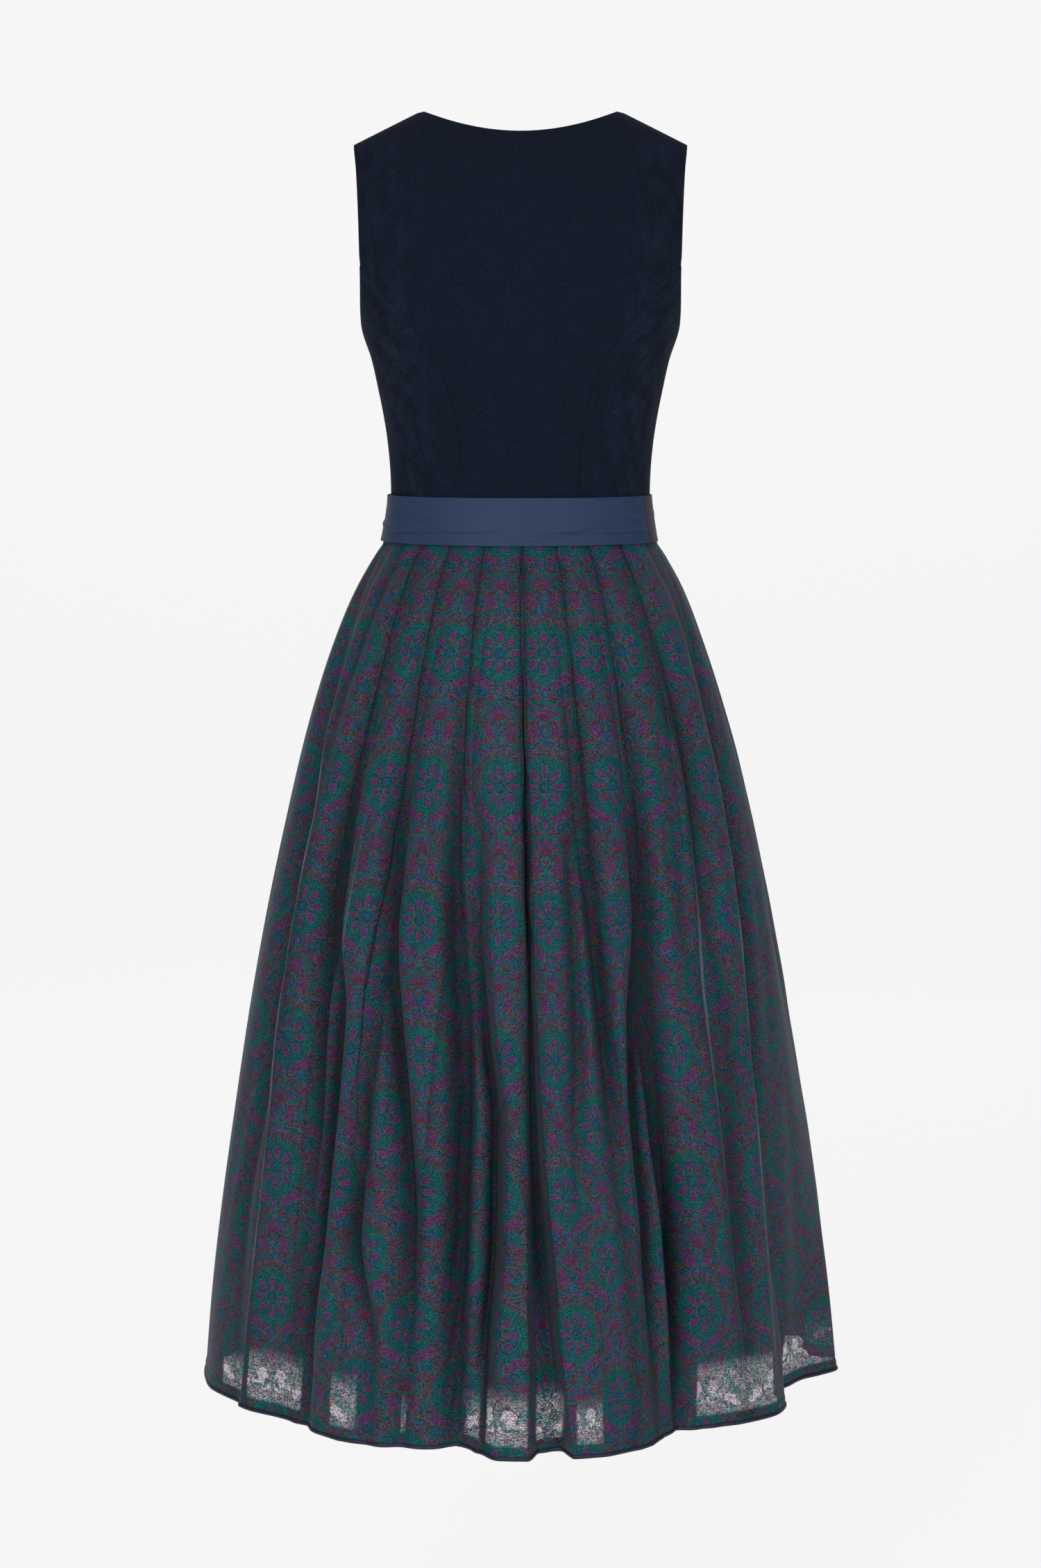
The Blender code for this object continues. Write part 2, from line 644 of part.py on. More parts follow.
def add_closure():
    """Placket on the centre front, and the round buttons on it."""
    lift = PLACKET_CLEAR + VELVET_WALL
    base = TIE_TOP + PLACKET_ENDS[0]
    rows = []
    for height in spread(base, FRONT_NECK - PLACKET_ENDS[1], PLACKET_ROWS):
        width = body_width(height)
        reach = math.degrees(math.asin(0.5 * PLACKET_WIDTH / width))
        row = []
        for share in (-1.0, 0.0, 1.0):
            angle = 180.0 + share * reach
            row.append(body_point(angle, height) + surface_normal(body_point, angle, height) * lift)
        rows.append(row)
    add_cloth("bodice_placket", rows, "velvet", VELVET_WALL)

    mesh = bpy.data.meshes.new("button")
    profile = bmesh.new()
    half = 0.5 * BUTTON_THICK
    outline = ((0.0, half), (0.7 * BUTTON_RADIUS, 0.75 * half), (BUTTON_RADIUS, 0.0),
               (0.8 * BUTTON_RADIUS, -half), (0.0, -half))
    verts = [profile.verts.new((radius, 0.0, level)) for radius, level in outline]
    for first, second in zip(verts, verts[1:]):
        profile.edges.new((first, second))
    profile.to_mesh(mesh)
    profile.free()
    places = spread(base + BUTTON_ENDS[0], FRONT_NECK - BUTTON_ENDS[1], BUTTONS - 1)
    for number, height in enumerate(places):
        out = surface_normal(body_point, 180.0, height)
        place = body_point(180.0, height) + out * (lift + BUTTON_CLEAR + half)
        piece = add_object("button_%d" % (number + 1), mesh, "button")
        piece.matrix_world = Matrix.Translation(place) @ out.to_track_quat("Z", "Y").to_matrix().to_4x4()
        screw = piece.modifiers.new("turn", "SCREW")
        screw.steps = BUTTON_SIDES
        screw.render_steps = BUTTON_SIDES
        screw.use_merge_vertices = True
        screw.merge_threshold = 0.00001


# Skirt
def add_skirt():
    """Back and front of the pleated skirt, its plain lining and the binding of its hem."""
    back_lines = crease_lines(BACK_CREASES)
    front_lines = crease_lines(front_creases())
    heights = list(reversed(SKIRT_ROWS))
    for name, lines in (("skirt_back", back_lines), ("skirt_front", front_lines)):
        counts = strips_between(lines)
        rows = [pleated_row(lines, counts, height, 0.0) for height in heights]
        trim_seams(rows)
        add_cloth(name, rows, "jacquard", JACQUARD_WALL)

    ring_lines = back_lines + front_lines[1:]
    counts = strips_between(ring_lines)
    rows = []
    for height in (0.0, BINDING_TOP - SEAM_GAP):
        rows.append(pleated_row(ring_lines, counts, height, BINDING_PROUD)[:-1])
    add_cloth("hem_binding", rows, "binding", JACQUARD_WALL + 2.0 * BINDING_PROUD, closed=True)

    rows = []
    for height in [LINING_HEM] + [height for height in heights if height > 2 * LINING_HEM]:
        share = (WAIST_SEAM - height) / WAIST_SEAM
        inward = LINING_IN + LINING_FALLS[0] * share + LINING_FALLS[1] * share * share
        angles = spread(0.0, 360.0, LINING_SIDES)[:-1]
        rows.append([skirt_point(angle, height, -inward) for angle in angles])
    add_cloth("skirt_lining", rows, "lining", LINING_WALL, closed=True)


# Apron, tie and bow
def waist_point(angle, height):
    """Outer face of the dress at the waist, where the bodice runs into the skirt."""
    if height >= WAIST_SEAM:
        return body_point(angle, height)
    return skirt_point(angle, height, 0.0)


def strap_rows(angles, lifts):
    """A band round the waist, moved out from the dress by the lift at each angle."""
    rows = []
    for height in (TIE_BOTTOM,) + LOW_ROWS:
        row = []
        for angle, lift in zip(angles, lifts):
            row.append(waist_point(angle, height) + surface_normal(waist_point, angle, height) * lift)
        rows.append(row)
    return rows


def add_apron():
    """Plain apron over the front, with its waistband."""
    outer = TIE_CLEAR + SATIN_WALL
    angles = spread(TIE_SEAM_ANGLE, 360.0 + BAND_END_ANGLE, STRAP_STEPS)
    rows = strap_rows(angles, [outer] * len(angles))
    trim_seams(rows, right=False)
    add_cloth("apron_waistband", rows, "taffeta", SATIN_WALL)

    lines = crease_lines(front_creases())[APRON_FIRST:-APRON_FIRST]
    counts = strips_between(lines)
    rows = []
    below = [height for height in reversed(SKIRT_ROWS) if APRON_HEM < height < TIE_BOTTOM - SEAM_GAP]
    for height in [APRON_HEM] + below:
        rows.append(pleated_row(lines, counts, height, APRON_LIFT))
    rows.append(pleated_row(lines, counts, TIE_BOTTOM - SEAM_GAP, outer - APRON_BAND_CLEAR))
    add_cloth("apron", rows, "taffeta", TAFFETA_WALL)


def add_tie():
    """Satin tie from the waistband's end round the back to the bow."""
    outer = TIE_CLEAR + SATIN_WALL
    angles = spread(BOW_ANGLE, TIE_SEAM_ANGLE, STRAP_STEPS)
    lifts = []
    for angle in angles:
        share = (angle - TIE_CLIMB[0]) / (TIE_CLIMB[1] - TIE_CLIMB[0])
        share = min(max(share, 0.0), 1.0)
        lifts.append(outer + (SATIN_WALL + TIE_CLEAR) * share * share * (3.0 - 2.0 * share))
    rows = strap_rows(angles, lifts)
    trim_seams(rows, left=False)
    add_cloth("tie_right", rows, "satin", SATIN_WALL)


def bow_base(distance, height):
    """Point over the waist at a distance round from the knot, and the way out there."""
    angle = BOW_ANGLE + math.degrees(distance / body_width(max(height, TIE_BOTTOM)))
    return waist_point(angle, height), surface_normal(waist_point, angle, height)


def add_bow():
    """Knot, two loops and two hanging ends of the tie."""
    clear = 2.0 * (TIE_CLEAR + SATIN_WALL) + TIE_CLEAR
    place, out = bow_base(0.0, BOW_HEIGHT)
    width, tall, deep = KNOT_SIZE
    bpy.ops.mesh.primitive_cube_add(size=1.0)
    knot = bpy.context.active_object
    for collection in list(knot.users_collection):
        collection.objects.unlink(knot)
    garment.objects.link(knot)
    knot.name = "bow_knot"
    cage = (width * KNOT_CAGE, tall * KNOT_CAGE, deep * KNOT_CAGE, 1.0)
    knot.data.transform(Matrix.Diagonal(cage))
    knot.data.materials.append(material("satin"))
    facing = out.to_track_quat("Z", "Y").to_matrix().to_4x4()
    knot.matrix_world = Matrix.Translation(place + out * (clear + 0.5 * deep)) @ facing
    round_off = knot.modifiers.new("round", "SUBSURF")
    round_off.levels = 2
    round_off.render_levels = 2
    knot.data.shade_smooth()

    for name, way in (("bow_loop_left", 1.0), ("bow_loop_right", -1.0)):
        rows = []
        for share in LOOP_ACROSS:
            row = []
            for turn in spread(0.0, math.pi, LOOP_STEPS):
                far = math.sin(turn)
                distance = LOOP_START + (LOOP_LENGTH - LOOP_START) * far
                half = LOOP_PINCH + (LOOP_FLARE - LOOP_PINCH) * min(far * 1.4, 1.0) ** 0.8
                height = BOW_HEIGHT - LOOP_DROOP * far ** 1.5 + share * half
                swell = LOOP_DEPTH * (0.3 + 0.7 * math.sin(math.pi * min(far, 0.9)) ** 0.7)
                lift = clear + LOOP_CLEAR + LOOP_DEPTH - swell * math.cos(turn)
                base, normal = bow_base(way * distance, height)
                row.append(base + normal * lift)
            if way < 0:
                row.reverse()
            rows.append(row)
        add_cloth(name, rows, "satin", SATIN_WALL)

    for name, top, lean, length, layer in BOW_ENDS:
        rows = []
        for t in spread(1.0, 0.0, END_STEPS):
            height = BOW_HEIGHT - top - length * t
            half = 0.5 * (END_PINCH + (END_WIDTH - END_PINCH) * min(t * 3.0, 1.0))
            middle = lean * (0.35 + 1.4 * t)
            row = []
            for share in END_ACROSS:
                angle = BOW_ANGLE + math.degrees((middle + share * half) / skirt_width(height))
                point = skirt_point(angle, min(height, TIE_BOTTOM), layer)
                if height > TIE_BOTTOM:
                    point = waist_point(angle, height) + (point - skirt_point(angle, TIE_BOTTOM, 0.0))
                row.append(point)
            rows.append(row)
        add_cloth(name, rows, "satin", SATIN_WALL)


for old in list(bpy.data.objects):
    bpy.data.objects.remove(old, do_unlink=True)
garment = bpy.data.collections.new("dirndl")
bpy.context.scene.collection.children.link(garment)

add_bodice()
add_closure()
add_skirt()
add_apron()
add_tie()
add_bow()
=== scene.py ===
# Dirndl, seen from behind: velvet bodice, pleated jacquard skirt, satin tie, apron and bow.
import functools
import math

import bpy
import mathutils
import numpy as np
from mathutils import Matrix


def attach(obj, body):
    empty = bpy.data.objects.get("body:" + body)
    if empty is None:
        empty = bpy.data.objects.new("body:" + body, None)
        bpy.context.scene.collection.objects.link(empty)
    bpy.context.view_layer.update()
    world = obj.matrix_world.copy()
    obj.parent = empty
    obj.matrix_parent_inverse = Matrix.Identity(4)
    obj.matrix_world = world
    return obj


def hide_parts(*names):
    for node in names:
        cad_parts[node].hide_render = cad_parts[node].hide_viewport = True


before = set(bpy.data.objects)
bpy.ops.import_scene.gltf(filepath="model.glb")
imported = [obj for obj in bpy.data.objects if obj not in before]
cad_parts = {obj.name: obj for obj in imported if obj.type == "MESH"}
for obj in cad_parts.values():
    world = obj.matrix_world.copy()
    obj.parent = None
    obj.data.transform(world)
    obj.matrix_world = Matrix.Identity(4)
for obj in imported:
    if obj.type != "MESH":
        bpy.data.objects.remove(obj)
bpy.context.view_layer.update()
print("frame loaded:", len(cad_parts), "nodes")

# Lengths are metres unless a name says otherwise. A height is measured up from the skirt's hem.
# An angle is measured in degrees from centre back, towards the wearer's right.
dress = {
    "heldAt": 1.238,        # height of the frame's origin, between the shoulder seams
    "waistSeam": 0.852,
    "tieBottom": 0.839,
    "tieTop": 0.885,
}


# Curves, meshes and nodes that every piece uses
def cubic(t, span, start, startSlope, end, endSlope):
    leaving = (1 + 2 * t) * (1 - t) ** 2 * start + t * (1 - t) ** 2 * span * startSlope
    return leaving + t * t * (3 - 2 * t) * end + t * t * (t - 1) * span * endSlope


# Smooth curve through places and values that never overshoots them
def smoothCurve(places, values):
    order = np.argsort(places)
    xs = np.array(places, float)[order]
    ys = np.array(values, float)[order]
    spans = np.diff(xs)
    steps = np.diff(ys) / spans
    slopes = np.zeros(len(xs))
    slopes[0] = steps[0]
    slopes[-1] = steps[-1]
    before = steps[:-1]
    after = steps[1:]
    same = before * after > 0.0
    slopes[1:-1][same] = 2.0 * before[same] * after[same] / (before[same] + after[same])

    def value(x):
        x = np.clip(x, xs[0], xs[-1])
        i = np.clip(np.searchsorted(xs, x, side="left") - 1, 0, len(xs) - 2)
        return cubic((x - xs[i]) / spans[i], spans[i], ys[i], slopes[i], ys[i + 1], slopes[i + 1])

    return value


def column(table, name):
    place = table["columns"].index(name)
    return [row[place] for row in table["rows"]]


def tableCurve(table, name):
    return smoothCurve(column(table, table["columns"][0]), column(table, name))


def ease(t):
    t = np.clip(t, 0.0, 1.0)
    return t * t * (3.0 - 2.0 * t)


def unit(vectors):
    return vectors / np.maximum(np.linalg.norm(vectors, axis=-1, keepdims=True), 1e-12)


# Length along lines of points, from 0 at the start of each
def lengthAlong(points, axis):
    steps = np.linalg.norm(np.diff(points, axis=axis), axis=-1)
    return np.cumsum(np.insert(steps, 0, 0.0, axis=axis), axis=axis)


# Sideways and upward directions across one that points outward
def acrossOf(out):
    aside = unit(np.cross((0.0, 0.0, 1.0), out))
    return aside, np.cross(out, aside)


# points is an array of rows, columns and xyz. startU and endU are the cloth's u at the left and the right
# side of each quad: they differ from quad to quad where cloth is hidden in a fold.
def clothMesh(name, points, startU, endU, v, marks=None, closed=False):
    rows, columns = points.shape[:2]
    index = np.arange(rows * columns).reshape(rows, columns)
    near = index if closed else index[:, :-1]
    far = np.roll(index, -1, axis=1) if closed else index[:, 1:]
    quads = np.stack([near[:-1], far[:-1], far[1:], near[1:]], axis=-1).reshape(-1, 4)
    mesh = bpy.data.meshes.new(name)
    mesh.from_pydata(points.reshape(-1, 3).tolist(), [], quads.tolist())
    v0 = v if closed else v[:, :-1]
    v1 = np.roll(v, -1, axis=1) if closed else v[:, 1:]
    corners = [startU[:-1], v0[:-1], endU[:-1], v1[:-1], endU[1:], v1[1:], startU[1:], v0[1:]]
    layer = mesh.uv_layers.new(name="cloth")
    layer.data.foreach_set("uv", np.stack(corners, axis=-1).reshape(-1).astype(np.float32))
    for mark, values in (marks or {}).items():
        attribute = mesh.attributes.new(mark, "FLOAT", "POINT")
        attribute.data.foreach_set("value", values.reshape(-1).astype(np.float32))
    mesh.shade_smooth()
    return mesh


# Each piece rides on the dress's one body, and stands for its solid.
def addPiece(name, mesh, material, node, wall=0.0, rounding=0.0):
    piece = bpy.data.objects.new(name, mesh)
    bpy.context.scene.collection.objects.link(piece)
    mesh.materials.append(material)
    if wall:
        thick = piece.modifiers.new("wall", "SOLIDIFY")
        thick.thickness = wall
        thick.offset = -1.0
    if rounding:
        edge = piece.modifiers.new("turned edge", "BEVEL")
        edge.width = rounding
        edge.segments = 2
        edge.limit_method = "ANGLE"
        edge.angle_limit = math.radians(50.0)
    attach(piece, "root")
    if node:
        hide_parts(node)


# A piece of cloth through a grid of points. Its cloth coordinates run along the rows and up the columns.
def gridPiece(name, points, material, node, wall=0.0, rounding=0.0, closed=False, marks=None):
    u = lengthAlong(np.concatenate([points, points[:, :1]], axis=1) if closed else points, 1)
    u = u - u[:, -1:] * 0.5
    mesh = clothMesh(name, points, u[:, :-1], u[:, 1:], lengthAlong(points, 0), marks, closed)
    addPiece(name, mesh, material, node, wall, rounding)


def linear(hexColour):
    channels = [int(hexColour[i:i + 2], 16) / 255.0 for i in (1, 3, 5)]
    return tuple(c / 12.92 if c <= 0.04045 else ((c + 0.055) / 1.055) ** 2.4 for c in channels) + (1.0,)


# Adds a node. Its kind may be followed by its operation; its values go to its sockets in order.
def addNode(tree, kind, *values, sockets=None, **settings):
    kind, _, operation = kind.partition(" ")
    node = tree.nodes.new("ShaderNode" + kind)
    if operation:
        node.operation = operation
    for name, value in settings.items():
        setattr(node, name, value)
    for place, value in list(enumerate(values)) + list((sockets or {}).items()):
        if isinstance(value, bpy.types.NodeSocket):
            tree.links.new(value, node.inputs[place])
        elif value is not None:
            node.inputs[place].default_value = value
    return node.outputs[0] if len(node.outputs) == 1 else node.outputs


# A Principled material with its uniform values set on the shader's own sockets.
def newMaterial(name, settings):
    material = bpy.data.materials.new(name)
    material.use_nodes = True
    shader = material.node_tree.nodes["Principled BSDF"]
    for socket, value in settings.items():
        shader.inputs[socket].default_value = value
    return material, material.node_tree, shader


# Woven jacquard, viscose on a polyester warp: dense raised floats in the motifs, thinner ground between.
# The eye sees dark, matt, closely figured colours, drawn thread by thread, with a soft sheen on the folds.
jacquard = {
    "columnMm": 56.0,       # from one column of rosettes to the next
    "rowMm": 127.0,         # from rosette to rosette in a column; the next column is half a row lower
    "rosetteMm": 29.0,      # radius to the tips of the scallops
    "scallops": 16,
    "scallopMm": 4.4,
    "innerMm": 21.0,        # radius of the field inside the scallops
    "petals": 8,
    "petalOuterMm": (15.4, 3.5, 4.9),       # from the centre, half width and half height
    "petalInnerMm": (10.0, 1.9, 4.2),
    "centreMm": (6.6, 2.4),                 # radius of the centre and of its heart
    "halfFlowerMm": 62.5,                   # from the rosette's centre down to the half flower's
    "halfFlowerLobes": 5.0,
    "ogeeMm": (29.0, 26.0),                 # the vine's middle place, and how far it swings
    "vineWavesMm": 2.8,
    "vineMm": 1.5,
    "ribMm": 1.2,           # the real weft is finer, about 0.4 mm; drawn this coarse so that it shows
    "floatMm": 1.75,        # between raised floats; coarser than the real 0.8 mm for the same reason
    "green": "#0a5250",
    "sea": "#114d54",
    "blue": "#11485b",
    "teal": "#154c57",
    "magenta": "#573058",
    "rust": "#523836",
    "crimson": "#56283c",
    "plum": "#443c4a",
    "brown": "#3e4045",
    "vine": "#2f282f",
    # painted highlight: the pale rim of light drawn along some fold edges
    "rimHighlight": "#8a9396",
    "backlit": "#96768c",   # the thin ground's threads where light comes through them
    "sheen": "#c3cdca",
    "paintedHaze": "#070f19",   # a painted haze of light added everywhere, so even the deepest threads are never black
    "roughness": 0.62,
}
# Ovals to both sides of a column's middle, in mm from the rosette's centre: small discs, blobs and leaves
jacquardOvals = {
    "columns": ("colour", "x", "y", "halfWidth", "halfHeight", "lean", "cover"),
    "rows": (
        ("magenta", 11.0, -88.0, 10.0, 4.5, 0.0, 0.54), ("magenta", 10.0, -76.0, 8.0, 6.5, 0.3, 0.54),
        ("magenta", 20.0, -24.0, 9.0, 5.0, 0.6, 0.54), ("magenta", 14.0, -31.0, 8.0, 4.0, 0.0, 0.54),
        ("rust", 18.0, -84.0, 5.5, 6.0, 0.4, 0.54), ("teal", 22.0, -76.0, 4.0, 8.0, -0.5, 0.88),
        ("teal", 17.0, -89.5, 6.5, 2.8, 0.2, 0.88), ("teal", 24.0, -38.0, 5.0, 7.5, 0.5, 0.88),
        ("crimson", 7.8, -43.0, 2.6, 2.8, 0.0, 0.92), ("crimson", 15.5, -51.5, 3.4, 2.2, 0.2, 0.92),
        ("crimson", 10.5, -67.5, 2.8, 3.0, 0.3, 0.92), ("crimson", 25.0, -50.0, 2.6, 4.5, -0.4, 0.92),
        ("teal", 0.0, -35.0, 6.2, 6.6, 0.0, 0.92), ("magenta", 0.0, -35.5, 2.8, 3.6, 0.0, 0.92),
        ("teal", 0.0, -71.0, 6.6, 7.6, 0.0, 0.92), ("plum", 0.0, -70.0, 3.8, 4.2, 0.0, 0.92),
        ("blue", 0.0, -84.0, 2.2, 6.5, 0.0, 0.92), ("green", 7.0, -86.5, 2.6, 4.5, 0.5, 0.92),
        ("blue", 16.2, -38.5, 5.0, 5.0, 0.0, 0.92), ("plum", 16.2, -38.5, 1.8, 1.8, 0.0, 0.92),
    ),
}


def makeJacquard():
    made, tree, shader = newMaterial("woven jacquard", {
        "Sheen Weight": 0.10, "Sheen Roughness": 0.30, "Sheen Tint": linear(jacquard["sheen"]),
        "Specular IOR Level": 0.10,
    })
    add = functools.partial(addNode, tree)
    uv = add("UVMap", uv_map="cloth")
    wander = add("TexNoise", uv, None, 300.0, 4.0, 0.72)[1]       # the weave wanders by half a millimetre
    wander = add("VectorMath SUBTRACT", wander, (0.5, 0.5, 0.5))[0]
    place = add("VectorMath MULTIPLY_ADD", wander, (0.0036, 0.0036, 0.0), uv)[0]
    u, v, _ = add("SeparateXYZ", place)

    # Half-drop repeat: x and y in millimetres from the nearest rosette of this column
    across = add("Math MULTIPLY", u, 1000.0 / jacquard["columnMm"])
    columnNumber = add("Math ROUND", across)
    x = add("Math MULTIPLY", add("Math SUBTRACT", across, columnNumber), jacquard["columnMm"])
    dropped = add("Math FLOORED_MODULO", columnNumber, 2.0)
    up = add("Math MULTIPLY", v, 1000.0 / jacquard["rowMm"])
    up = add("Math MULTIPLY_ADD", dropped, 0.5, up)
    lowered = add("Math ADD", up, 0.25)              # the cell reaches further below a rosette
    rowNumber = add("Math ROUND", lowered)
    y = add("Math MULTIPLY", add("Math SUBTRACT", up, rowNumber), jacquard["rowMm"])
    side = add("Math ABSOLUTE", x)
    r = add("VectorMath LENGTH", add("CombineXYZ", x, y, 0.0))[1]
    turn = add("Math ARCTAN2", x, y)

    # How far inside an oval a point lies, in millimetres
    def ovalIn(px, py, halfWidth, halfHeight):
        reach = add("VectorMath LENGTH", add("CombineXYZ", add("Math MULTIPLY", px, 1.0 / halfWidth),
                                      add("Math MULTIPLY", py, 1.0 / halfHeight), 0.0))[1]
        least = min(halfWidth, halfHeight)
        return add("Math MULTIPLY_ADD", reach, -least, least)

    # Rosette with a scalloped edge, petals in two colours and a centre
    leaves = add("Math MULTIPLY", turn, jacquard["scallops"] / 2)
    scallop = add("Math ABSOLUTE", add("Math COSINE", leaves))
    scallop = add("Math POWER", scallop, 0.7)
    betweenScallops = jacquard["rosetteMm"] - jacquard["scallopMm"]
    edge = add("Math MULTIPLY_ADD", scallop, jacquard["scallopMm"], betweenScallops)
    rosetteIn = add("Math SUBTRACT", edge, r)
    innerIn = add("Math SUBTRACT", jacquard["innerMm"], r)
    between = add("Math ABSOLUTE", add("Math SINE", leaves))
    between = add("Math MULTIPLY", add("Math MULTIPLY", between, r), 0.13)
    between = add("Math MINIMUM", between, add("Math ABSOLUTE", innerIn))
    petal = add("Math MULTIPLY", turn, jacquard["petals"] / (2 * math.pi))
    petal = add("Math SUBTRACT", petal, add("Math ROUND", petal))
    petal = add("Math MULTIPLY", petal, 2 * math.pi / jacquard["petals"])
    petalSide = add("Math MULTIPLY", petal, r)
    petalOuter, petalInner = (ovalIn(petalSide, add("Math SUBTRACT", r, out), wide, tall)
                              for out, wide, tall in (jacquard["petalOuterMm"], jacquard["petalInnerMm"]))
    centreIn, heartIn = (add("Math SUBTRACT", radius, r) for radius in jacquard["centreMm"])

    # Half flower under each rosette, of five petals
    halfY = add("Math ADD", y, jacquard["halfFlowerMm"])
    halfR = add("VectorMath LENGTH", add("CombineXYZ", x, halfY, 0.0))[1]
    halfTurn = add("Math ARCTAN2", x, halfY)
    lobe = add("Math COSINE", add("Math MULTIPLY", halfTurn, jacquard["halfFlowerLobes"]))
    lobe = add("Math ABSOLUTE", lobe)
    lobeEdge = add("Math MULTIPLY_ADD", lobe, 4.5, 15.5)
    halfIn = add("Math MINIMUM", add("Math SUBTRACT", lobeEdge, halfR), add("Math ADD", halfY, 2.0))
    lobeInner = add("Math SUBTRACT", add("Math MULTIPLY_ADD", lobe, 12.5, 4.0), halfR)
    lobeInner = add("Math MINIMUM", lobeInner, halfY)
    halfHeart = add("Math MINIMUM", add("Math SUBTRACT", 6.0, halfR), halfIn)

    # Ground: purple clouds on brown, and a vine in an ogee net between the rosettes
    rowTurn = add("Math MULTIPLY", y, 2 * math.pi / jacquard["rowMm"])
    rowCosine = add("Math COSINE", rowTurn)
    ring = add("CombineXYZ", rowCosine, add("Math SINE", rowTurn), 0.0)
    ring = add("VectorMath SCALE", ring, sockets={3: jacquard["rowMm"] / (2 * math.pi)})[0]
    ring = add("VectorMath ADD", ring, add("CombineXYZ", 0.0, 0.0, side))[0]
    cloud = add("TexNoise", ring, None, 0.105, 1.5, 0.5)[0]
    cloudIn = add("Math MULTIPLY", add("Math SUBTRACT", cloud, 0.475), 24.0)
    ogee = add("Math MULTIPLY_ADD", rowCosine, jacquard["ogeeMm"][1], jacquard["ogeeMm"][0])
    wave = add("Math SINE", add("Math MULTIPLY", rowTurn, 9.0))
    ogee = add("Math MULTIPLY_ADD", wave, jacquard["vineWavesMm"], ogee)
    aside = add("Math ABSOLUTE", add("Math SUBTRACT", side, ogee))
    vineIn = add("Math SUBTRACT", jacquard["vineMm"], aside)

    # Layers, from the ground up: a colour, how far inside it the point lies, and how thickly it covers
    layers = [("plum", cloudIn, 0.82), ("vine", vineIn, 0.92)]
    for shade, ovalX, ovalY, halfWidth, halfHeight, lean, covers in jacquardOvals["rows"]:
        fromX = add("Math SUBTRACT", side, ovalX)
        fromY = add("Math SUBTRACT", y, ovalY)
        if lean:
            fromX = add("Math MULTIPLY_ADD", fromY, lean, fromX)
        layers.append((shade, ovalIn(fromX, fromY, halfWidth, halfHeight), covers))
    layers += [
        ("green", halfIn, 0.88), ("magenta", lobeInner, 0.80), ("crimson", halfHeart, 0.85),
        ("green", rosetteIn, 0.88), ("sea", innerIn, 0.92), ("rust", petalInner, 0.75),
        ("magenta", petalOuter, 0.75), ("blue", centreIn, 0.94), ("teal", heartIn, 0.94),
    ]
    colour = linear(jacquard["brown"])
    cover = 0.80
    nearest = None
    for shade, inside, covers in layers:
        share = add("Math MULTIPLY_ADD", inside, 2.2, 0.5, use_clamp=True)
        colour = add("Mix", share, sockets={6: colour, 7: linear(jacquard[shade])}, data_type="RGBA")[2]
        cover = add("Mix", share, None, cover, covers)[0]
        rim = add("Math ABSOLUTE", inside)
        if inside == rosetteIn:
            rim = add("Math MINIMUM", rim, between)
        nearest = rim if nearest is None else add(
            "Mix", share, None, add("Math MINIMUM", nearest, rim), rim)[0]

    # Floats follow the shapes' outlines in fine wavy lines, light on top and dark in between
    curl = add("TexNoise", uv, None, 380.0, 2.0, 0.6)[0]
    strand = add("Math MULTIPLY", add("Math MULTIPLY_ADD", curl, 4.2, nearest),
                 2 * math.pi / jacquard["floatMm"])
    ripple = add("Math MULTIPLY", add("Math COSINE", strand), -1.0)
    weft = add("Math SINE", add("Math MULTIPLY", v, 2000.0 * math.pi / jacquard["ribMm"]))
    fleck = add("TexNoise", add("VectorMath MULTIPLY", uv, (1100.0, 1500.0, 1.0))[0],
                None, 1.0, 1.0, 0.6)[0]
    speck = add("TexNoise", add("VectorMath MULTIPLY", uv, (500.0, 900.0, 1.0))[0], None, 1.0, 2.0, 0.6)[1]
    crest = add("Math MULTIPLY_ADD", ripple, 0.5, 0.5)
    crest = add("Math POWER", crest, 0.7)
    shade = add("Math MULTIPLY_ADD", crest, 0.94, 0.05)
    shade = add("Math MULTIPLY_ADD", weft, 0.12, shade)
    shade = add("Math MULTIPLY_ADD", fleck, 2.0, add("Math SUBTRACT", shade, 0.92))
    shade = add("Math MAXIMUM", shade, 0.06)
    speck = add("VectorMath MULTIPLY_ADD", speck, (2.4, 2.2, 2.4), (-0.20, -0.10, -0.20))[0]
    colour = add("VectorMath MULTIPLY", colour, speck)[0]
    # Neighbouring colours run into each other over a few millimetres
    blot = add("TexNoise", uv, None, 120.0, 2.0, 0.5)[1]
    blot = add("VectorMath MULTIPLY_ADD", blot, (1.3, 0.9, 1.2), (0.35, 0.55, 0.40))[0]
    colour = add("VectorMath MULTIPLY", colour, blot)[0]
    colour = add("VectorMath SCALE", colour, sockets={3: shade})[0]
    # Painted haze: a little light is added over the whole cloth
    colour = add("VectorMath ADD", colour, linear(jacquard["paintedHaze"])[:3])[0]
    tree.links.new(add("Math MULTIPLY_ADD", fleck, 0.25, jacquard["roughness"] - 0.12),
                   shader.inputs["Roughness"])

    # Painted shade: little light gets into the deep folds, so they are drawn darker. Painted highlight: a
    # pale rim of light is drawn along some fold edges
    hollow = add("Attribute", attribute_name="hollow")[2]
    colour = add("VectorMath SCALE", colour, sockets={3: add("Math MULTIPLY_ADD", hollow, -0.62, 1.0)})[0]
    edgeHighlight = add("Attribute", attribute_name="edgeHighlight")[2]
    edgeHighlight = add("Math MULTIPLY", add("Math MULTIPLY_ADD", fleck, 1.6, -0.15, use_clamp=True), edgeHighlight)
    colour = add("Mix", add("Math MULTIPLY", edgeHighlight, 0.80),
                 sockets={6: colour, 7: linear(jacquard["rimHighlight"])}, data_type="RGBA")[2]

